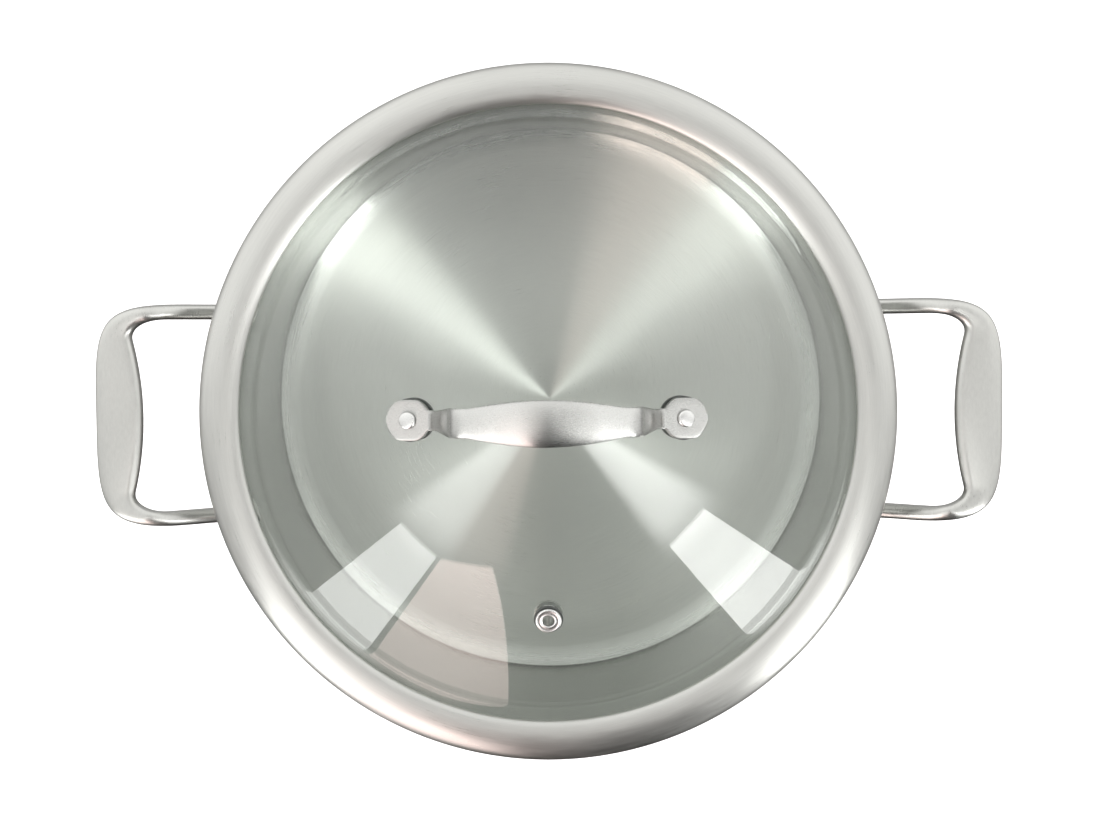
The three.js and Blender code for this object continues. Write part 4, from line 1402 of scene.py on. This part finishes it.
class StewPotAddGripFastenings(bpy.types.Operator):
    """Add the rivets, silicone washers and steel washers of the lid handle"""

    bl_idname = "stew_pot.add_grip_fastenings"
    bl_label = "Lid Handle Fastenings"

    def execute(self, context):
        settings = context.scene.stew_pot
        grip = settings.grip
        finishes = settings.finishes
        stack = fastening_places(settings)
        rubber = silicone_material(finishes)
        bright = bright_steel("grip_rivet_steel", finishes)
        plain = washer_steel("washer_steel", finishes)
        for side, x in (("left", -grip.rivet_spacing / 2), ("right", grip.rivet_spacing / 2)):
            place = dome_matrix(settings, x, 0)
            rivet = rivet_shape(
                grip.rivet_radius, grip.rivet_head_radius, grip.rivet_tail_radius, grip.rivet_head_height,
                stack.backing_bottom - SEAT_GAP, stack.tab_top + SEAT_GAP,
            )
            upper = sleeved_gasket(
                stack.sleeve_inner, stack.sleeve_outer, stack.sleeve_end, grip.gasket_radius, stack.gasket_top
            )
            lower = soft_ring(
                stack.sleeve_inner, grip.gasket_radius, stack.lower_bottom, stack.lower_top, GASKET_SOFTENING
            )
            backing = soft_ring(
                stack.sleeve_inner,
                grip.backing_radius,
                stack.backing_bottom,
                stack.backing_top,
                WASHER_SOFTENING,
            )
            pieces = (
                (f"grip_rivet_{side}", rivet, f"lid_rivet_{side}", bright, "polished_steel"),
                (f"grip_gasket_{side}", upper, f"upper_gasket_{side}", rubber, "silicone"),
                (f"under_gasket_{side}", lower, f"lower_gasket_{side}", rubber, "silicone"),
                (f"under_washer_{side}", backing, f"backing_washer_{side}", plain, "satin_steel"),
            )
            for name, shape, node, material, slot in pieces:
                finish_piece(new_object(name, shape), node, material, slot, place)
        return {"FINISHED"}


# The eyelet's inner ridge is this much smaller than its rolled edge
RIDGE_SHARE = 0.8


def eyelet_shape(lid):
    """The vent's tube with a rolled flange above the glass and a flared tail below it."""
    vent = vent_places(lid)
    roll = lid.vent_flange_thickness / 2
    ridge = roll * RIDGE_SHARE
    ridge_centre = lid.vent_hole_radius + ridge
    tail_top = vent.washer_bottom - SEAT_GAP
    tail_bottom = tail_top - lid.vent_tube_wall
    roll_centre = lid.vent_flange_radius - roll
    bore = lid.vent_hole_radius
    flange_top = vent.flange_bottom + lid.vent_flange_thickness
    outline = [
        (bore, tail_bottom),
        (vent.sleeve_outer, tail_bottom),
        (vent.sleeve_outer, tail_top),
        (vent.tube_outer, tail_top),
        (vent.tube_outer, vent.flange_bottom),
        *arc((roll_centre, vent.flange_bottom + roll), (roll, roll), 270, 480),
        *arc((ridge_centre, flange_top - ridge), (ridge, ridge), 60, 180),
    ]
    return turned(outline, SMALL_STEPS)


class StewPotAddVent(bpy.types.Operator):
    """Add the steam vent: eyelet, silicone sleeve and washer"""

    bl_idname = "stew_pot.add_vent"
    bl_label = "Steam Vent"

    def execute(self, context):
        settings = context.scene.stew_pot
        lid = settings.lid
        finishes = settings.finishes
        vent = vent_places(lid)
        place = dome_matrix(settings, 0, -lid.vent_offset)
        gasket = sleeved_gasket(
            vent.sleeve_inner, vent.sleeve_outer, vent.sleeve_end, lid.vent_gasket_radius, vent.gasket_top
        )
        washer = soft_ring(
            vent.sleeve_inner, lid.vent_gasket_radius, vent.washer_bottom, vent.washer_top, WASHER_SOFTENING
        )
        bright = bright_steel("eyelet_steel", finishes)
        plain = washer_steel("vent_washer_steel", finishes)
        rubber = silicone_material(finishes)
        eyelet = new_object("vent_ring", eyelet_shape(lid))
        finish_piece(eyelet, "vent_eyelet", bright, "polished_steel", place)
        finish_piece(new_object("vent_sleeve", gasket), "vent_gasket", rubber, "silicone", place)
        finish_piece(new_object("vent_plate", washer), "vent_washer", plain, "satin_steel", place)
        return {"FINISHED"}


# Studio

FLOOR_HALF = 4.0

# The camera: its place, its turn in degrees, and its shift in shares of the sensor's width
SENSOR_WIDTH = 36.0
CAMERA_PLACE = Vector((4.9, 28.5, 606.2)) * MM
CAMERA_TURN = (-2.273, 0.564, -0.482)
CAMERA_SHIFT = (0.0025, -0.0218)

# Each light by name: azimuths and elevations in degrees that it spans, seen from the pot
SOFTBOX_LEFT = (-141.0, -126.3, 4.0, 48.5)
SOFTBOX_RIGHT = (-51.0, -35.5, 4.0, 49.5)
WARM_CARD = (-125.0, -97.0, 4.0, 52.0)

# The warm card: the shares of its width at foot and head, the share of its height at the left side and its
# rise to the right, how its right side bends, how dim its foot is, and the height where it is brightest
CARD_FOOT = 0.97
CARD_HEAD = 0.56
CARD_TOP = 0.9
CARD_RISE = 0.19
CARD_CURVE = 2.3
CARD_DIMMEST = 0.4
CARD_FULL = 0.8

# Soft bands from high up in front of the pot to the zenith: azimuth and half width in degrees, brightness
SOFT_BANDS = ((-42.0, 9.5, 3.4), (-134.0, 9.5, 2.2))
WARM_BAND = (-115.0, 8.0, 0.7)
BAND_SOFTNESS = 4.5
WARM = (1.0, 0.79, 0.75, 1.0)
ROOM = (1.0, 1.0, 0.985, 1.0)
LAMP_WHITE = (1.0, 1.0, 0.99)

# The room along a direction's parts: where a change starts and ends, and the levels there
BEHIND = (-0.4, 0.6, 0.03, 1.2)
LEFT_SIDE = (0.0, 0.45, 0.0, 0.58)
RIGHT_SIDE = (0.2, 0.6, 0.0, 0.62)
SIDES_TO_REAR = (0.05, 0.5, 1.0, 0.25)
BELOW = (-0.35, 0.1, 0.4, 1.0)
BAND_FOOT = (0.7, 0.84, 0.0, 1.0)


def add_panel_light(name, spans, radiance, tint, distance):
    """An upright light that faces the pot and fills the given spans as seen from it."""
    low_azimuth, high_azimuth, low, high = spans
    azimuth = math.radians((low_azimuth + high_azimuth) / 2)
    away = Vector((math.cos(azimuth), math.sin(azimuth), 0))
    bottom = distance * math.tan(math.radians(low))
    top = distance * math.tan(math.radians(high))
    light = bpy.data.lights.new(name, "AREA")
    light.shape = "RECTANGLE"
    light.size = 2 * distance * math.tan(math.radians(high_azimuth - low_azimuth) / 2)
    light.size_y = top - bottom
    light.energy = radiance * math.pi * light.size * light.size_y
    light.color = tint
    lamp = bpy.data.objects.new(name, light)
    lamp.location = away * distance + Vector((0, 0, POT_HIGH.z + (bottom + top) / 2))
    lamp.rotation_euler = (-away).to_track_quat("-Z", "Y").to_euler()
    lamp.visible_camera = False
    bpy.context.scene.collection.objects.link(lamp)
    return light


def shape_card(light):
    """Leans the right side of the warm card outwards towards its foot and dims the foot."""
    light.use_nodes = True
    tree = light.node_tree
    tree.nodes.clear()
    place = add_node(tree, "ShaderNodeNewGeometry").outputs["Parametric"]
    across, up, _ = add_node(tree, "ShaderNodeSeparateXYZ", {0: place}).outputs
    lean = math_node(tree, "MULTIPLY", math_node(tree, "POWER", up, CARD_CURVE), CARD_FOOT - CARD_HEAD)
    side = math_node(tree, "SUBTRACT", CARD_FOOT, lean)
    top = math_node(tree, "ADD", math_node(tree, "MULTIPLY", across, CARD_RISE), CARD_TOP)
    beside = math_node(tree, "LESS_THAN", across, side)
    inside = math_node(tree, "MULTIPLY", beside, math_node(tree, "LESS_THAN", up, top))
    level = math_node(tree, "MULTIPLY", inside, ranged(tree, up, CARD_DIMMEST, 1.0, 0.0, CARD_FULL))
    shader = add_node(tree, "ShaderNodeEmission", {"Strength": level}).outputs[0]
    add_node(tree, "ShaderNodeOutputLight", {"Surface": shader})


def eased(tree, value, start, end, low, high):
    """A smooth step from low to high as value goes from start to end."""
    sockets = {"Value": value, "From Min": start, "From Max": end, "To Min": low, "To Max": high}
    return add_node(tree, "ShaderNodeMapRange", sockets, interpolation_type="SMOOTHSTEP").outputs["Result"]


def high_band(tree, parts, azimuth, half_width, level):
    """The brightness of a band that runs up to the zenith at an azimuth."""
    flat = add_node(tree, "ShaderNodeCombineXYZ", {"X": parts["X"], "Y": parts["Y"]}).outputs[0]
    heading = vector_node(tree, "NORMALIZE", flat)
    angle = math.radians(azimuth)
    aim = (math.cos(angle), math.sin(angle), 0)
    toward = add_node(tree, "ShaderNodeVectorMath", {0: heading, 1: aim}, operation="DOT_PRODUCT")
    edge = math.cos(math.radians(half_width + BAND_SOFTNESS))
    inside = math.cos(math.radians(half_width - BAND_SOFTNESS))
    across = eased(tree, toward.outputs["Value"], edge, inside, 0.0, level)
    return math_node(tree, "MULTIPLY", across, eased(tree, parts["Z"], *BAND_FOOT))


def add_room(radiance):
    """A room that is bright behind the pot and at its sides, dark in front, with soft bands high up."""
    world = bpy.data.worlds.new("studio_room")
    bpy.context.scene.world = world
    world.use_nodes = True
    tree = world.node_tree
    tree.nodes.clear()
    way = add_node(tree, "ShaderNodeTexCoord").outputs["Generated"]
    parts = add_node(tree, "ShaderNodeSeparateXYZ", {0: way}).outputs
    behind = eased(tree, parts["Y"], *BEHIND)
    left = eased(tree, math_node(tree, "MULTIPLY", parts["X"], -1.0), *LEFT_SIDE)
    right = eased(tree, parts["X"], *RIGHT_SIDE)
    both_sides = math_node(tree, "ADD", left, right)
    sides = math_node(tree, "MULTIPLY", both_sides, eased(tree, parts["Y"], *SIDES_TO_REAR))
    level = math_node(tree, "ADD", behind, sides)
    for band in SOFT_BANDS:
        level = math_node(tree, "ADD", level, high_band(tree, parts, *band))
    level = math_node(tree, "MULTIPLY", level, eased(tree, parts["Z"], *BELOW))
    warmth = high_band(tree, parts, *WARM_BAND)
    skies = []
    for tint, strength in ((ROOM, level), (WARM, warmth)):
        sockets = {"Color": tint, "Strength": math_node(tree, "MULTIPLY", strength, radiance)}
        skies.append(add_node(tree, "ShaderNodeBackground", sockets).outputs[0])
    both = add_node(tree, "ShaderNodeAddShader", {0: skies[0], 1: skies[1]}).outputs[0]
    add_node(tree, "ShaderNodeOutputWorld", {"Surface": both})


def add_floor(studio):
    shape = bmesh.new()
    bmesh.ops.create_grid(shape, x_segments=8, y_segments=8, size=FLOOR_HALF)
    floor = new_object("studio_floor", shape)
    floor.data.materials.append(floor_material(studio))
    floor.visible_glossy = False


def add_camera(scene, lens):
    camera = bpy.data.cameras.new("camera")
    camera.lens = lens
    camera.sensor_width = SENSOR_WIDTH
    camera.shift_x, camera.shift_y = CAMERA_SHIFT
    camera.clip_start = 1 * MM
    eye = bpy.data.objects.new("camera", camera)
    eye.location = CAMERA_PLACE
    eye.rotation_euler = [math.radians(angle) for angle in CAMERA_TURN]
    scene.collection.objects.link(eye)
    scene.camera = eye


class StewPotAddStudio(bpy.types.Operator):
    """Add the pale floor, the lights and the camera"""

    bl_idname = "stew_pot.add_studio"
    bl_label = "Studio"

    def execute(self, context):
        studio = context.scene.stew_pot.studio
        distance = studio.light_distance
        add_floor(studio)
        add_panel_light("softbox_left", SOFTBOX_LEFT, studio.left_radiance, LAMP_WHITE, distance)
        add_panel_light("softbox_right", SOFTBOX_RIGHT, studio.right_radiance, LAMP_WHITE, distance)
        card = add_panel_light("warm_card", WARM_CARD, studio.card_radiance, WARM[:3], distance)
        shape_card(card)
        add_room(studio.sky_radiance)
        add_camera(context.scene, studio.lens)
        context.scene.view_settings.view_transform = "Standard"
        return {"FINISHED"}


OPERATORS = (
    StewPotAddStudio,
    StewPotAddBody,
    StewPotAddBase,
    StewPotAddSideHandles,
    StewPotAddFootRivets,
    StewPotAddBand,
    StewPotAddGlass,
    StewPotAddGrip,
    StewPotAddGripFastenings,
    StewPotAddVent,
)


class StewPotPanel(bpy.types.Panel):
    """Buttons and sizes of the stew pot"""

    bl_idname = "VIEW3D_PT_stew_pot"
    bl_label = "Stew Pot"
    bl_space_type = "VIEW_3D"
    bl_region_type = "UI"
    bl_category = "Stew Pot"

    def draw(self, context):
        layout = self.layout
        for operator in OPERATORS:
            layout.operator(operator.bl_idname)
        settings = context.scene.stew_pot
        for part in settings.__annotations__:
            group = getattr(settings, part)
            box = layout.box()
            for key in group.__annotations__:
                box.prop(group, key)


CLASSES = (
    StewPotBodySizes,
    StewPotLoopSizes,
    StewPotLidSizes,
    StewPotGripSizes,
    StewPotFinishes,
    StewPotStudio,
    StewPotSettings,
    *OPERATORS,
    StewPotPanel,
)


def register():
    for cls in CLASSES:
        bpy.utils.register_class(cls)
    bpy.types.Scene.stew_pot = PointerProperty(type=StewPotSettings)


def unregister():
    del bpy.types.Scene.stew_pot
    for cls in reversed(CLASSES):
        bpy.utils.unregister_class(cls)


def main():
    register()
    for operator in OPERATORS:
        group, name = operator.bl_idname.split(".")
        getattr(getattr(bpy.ops, group), name)()


if __name__ == "__main__":
    main()
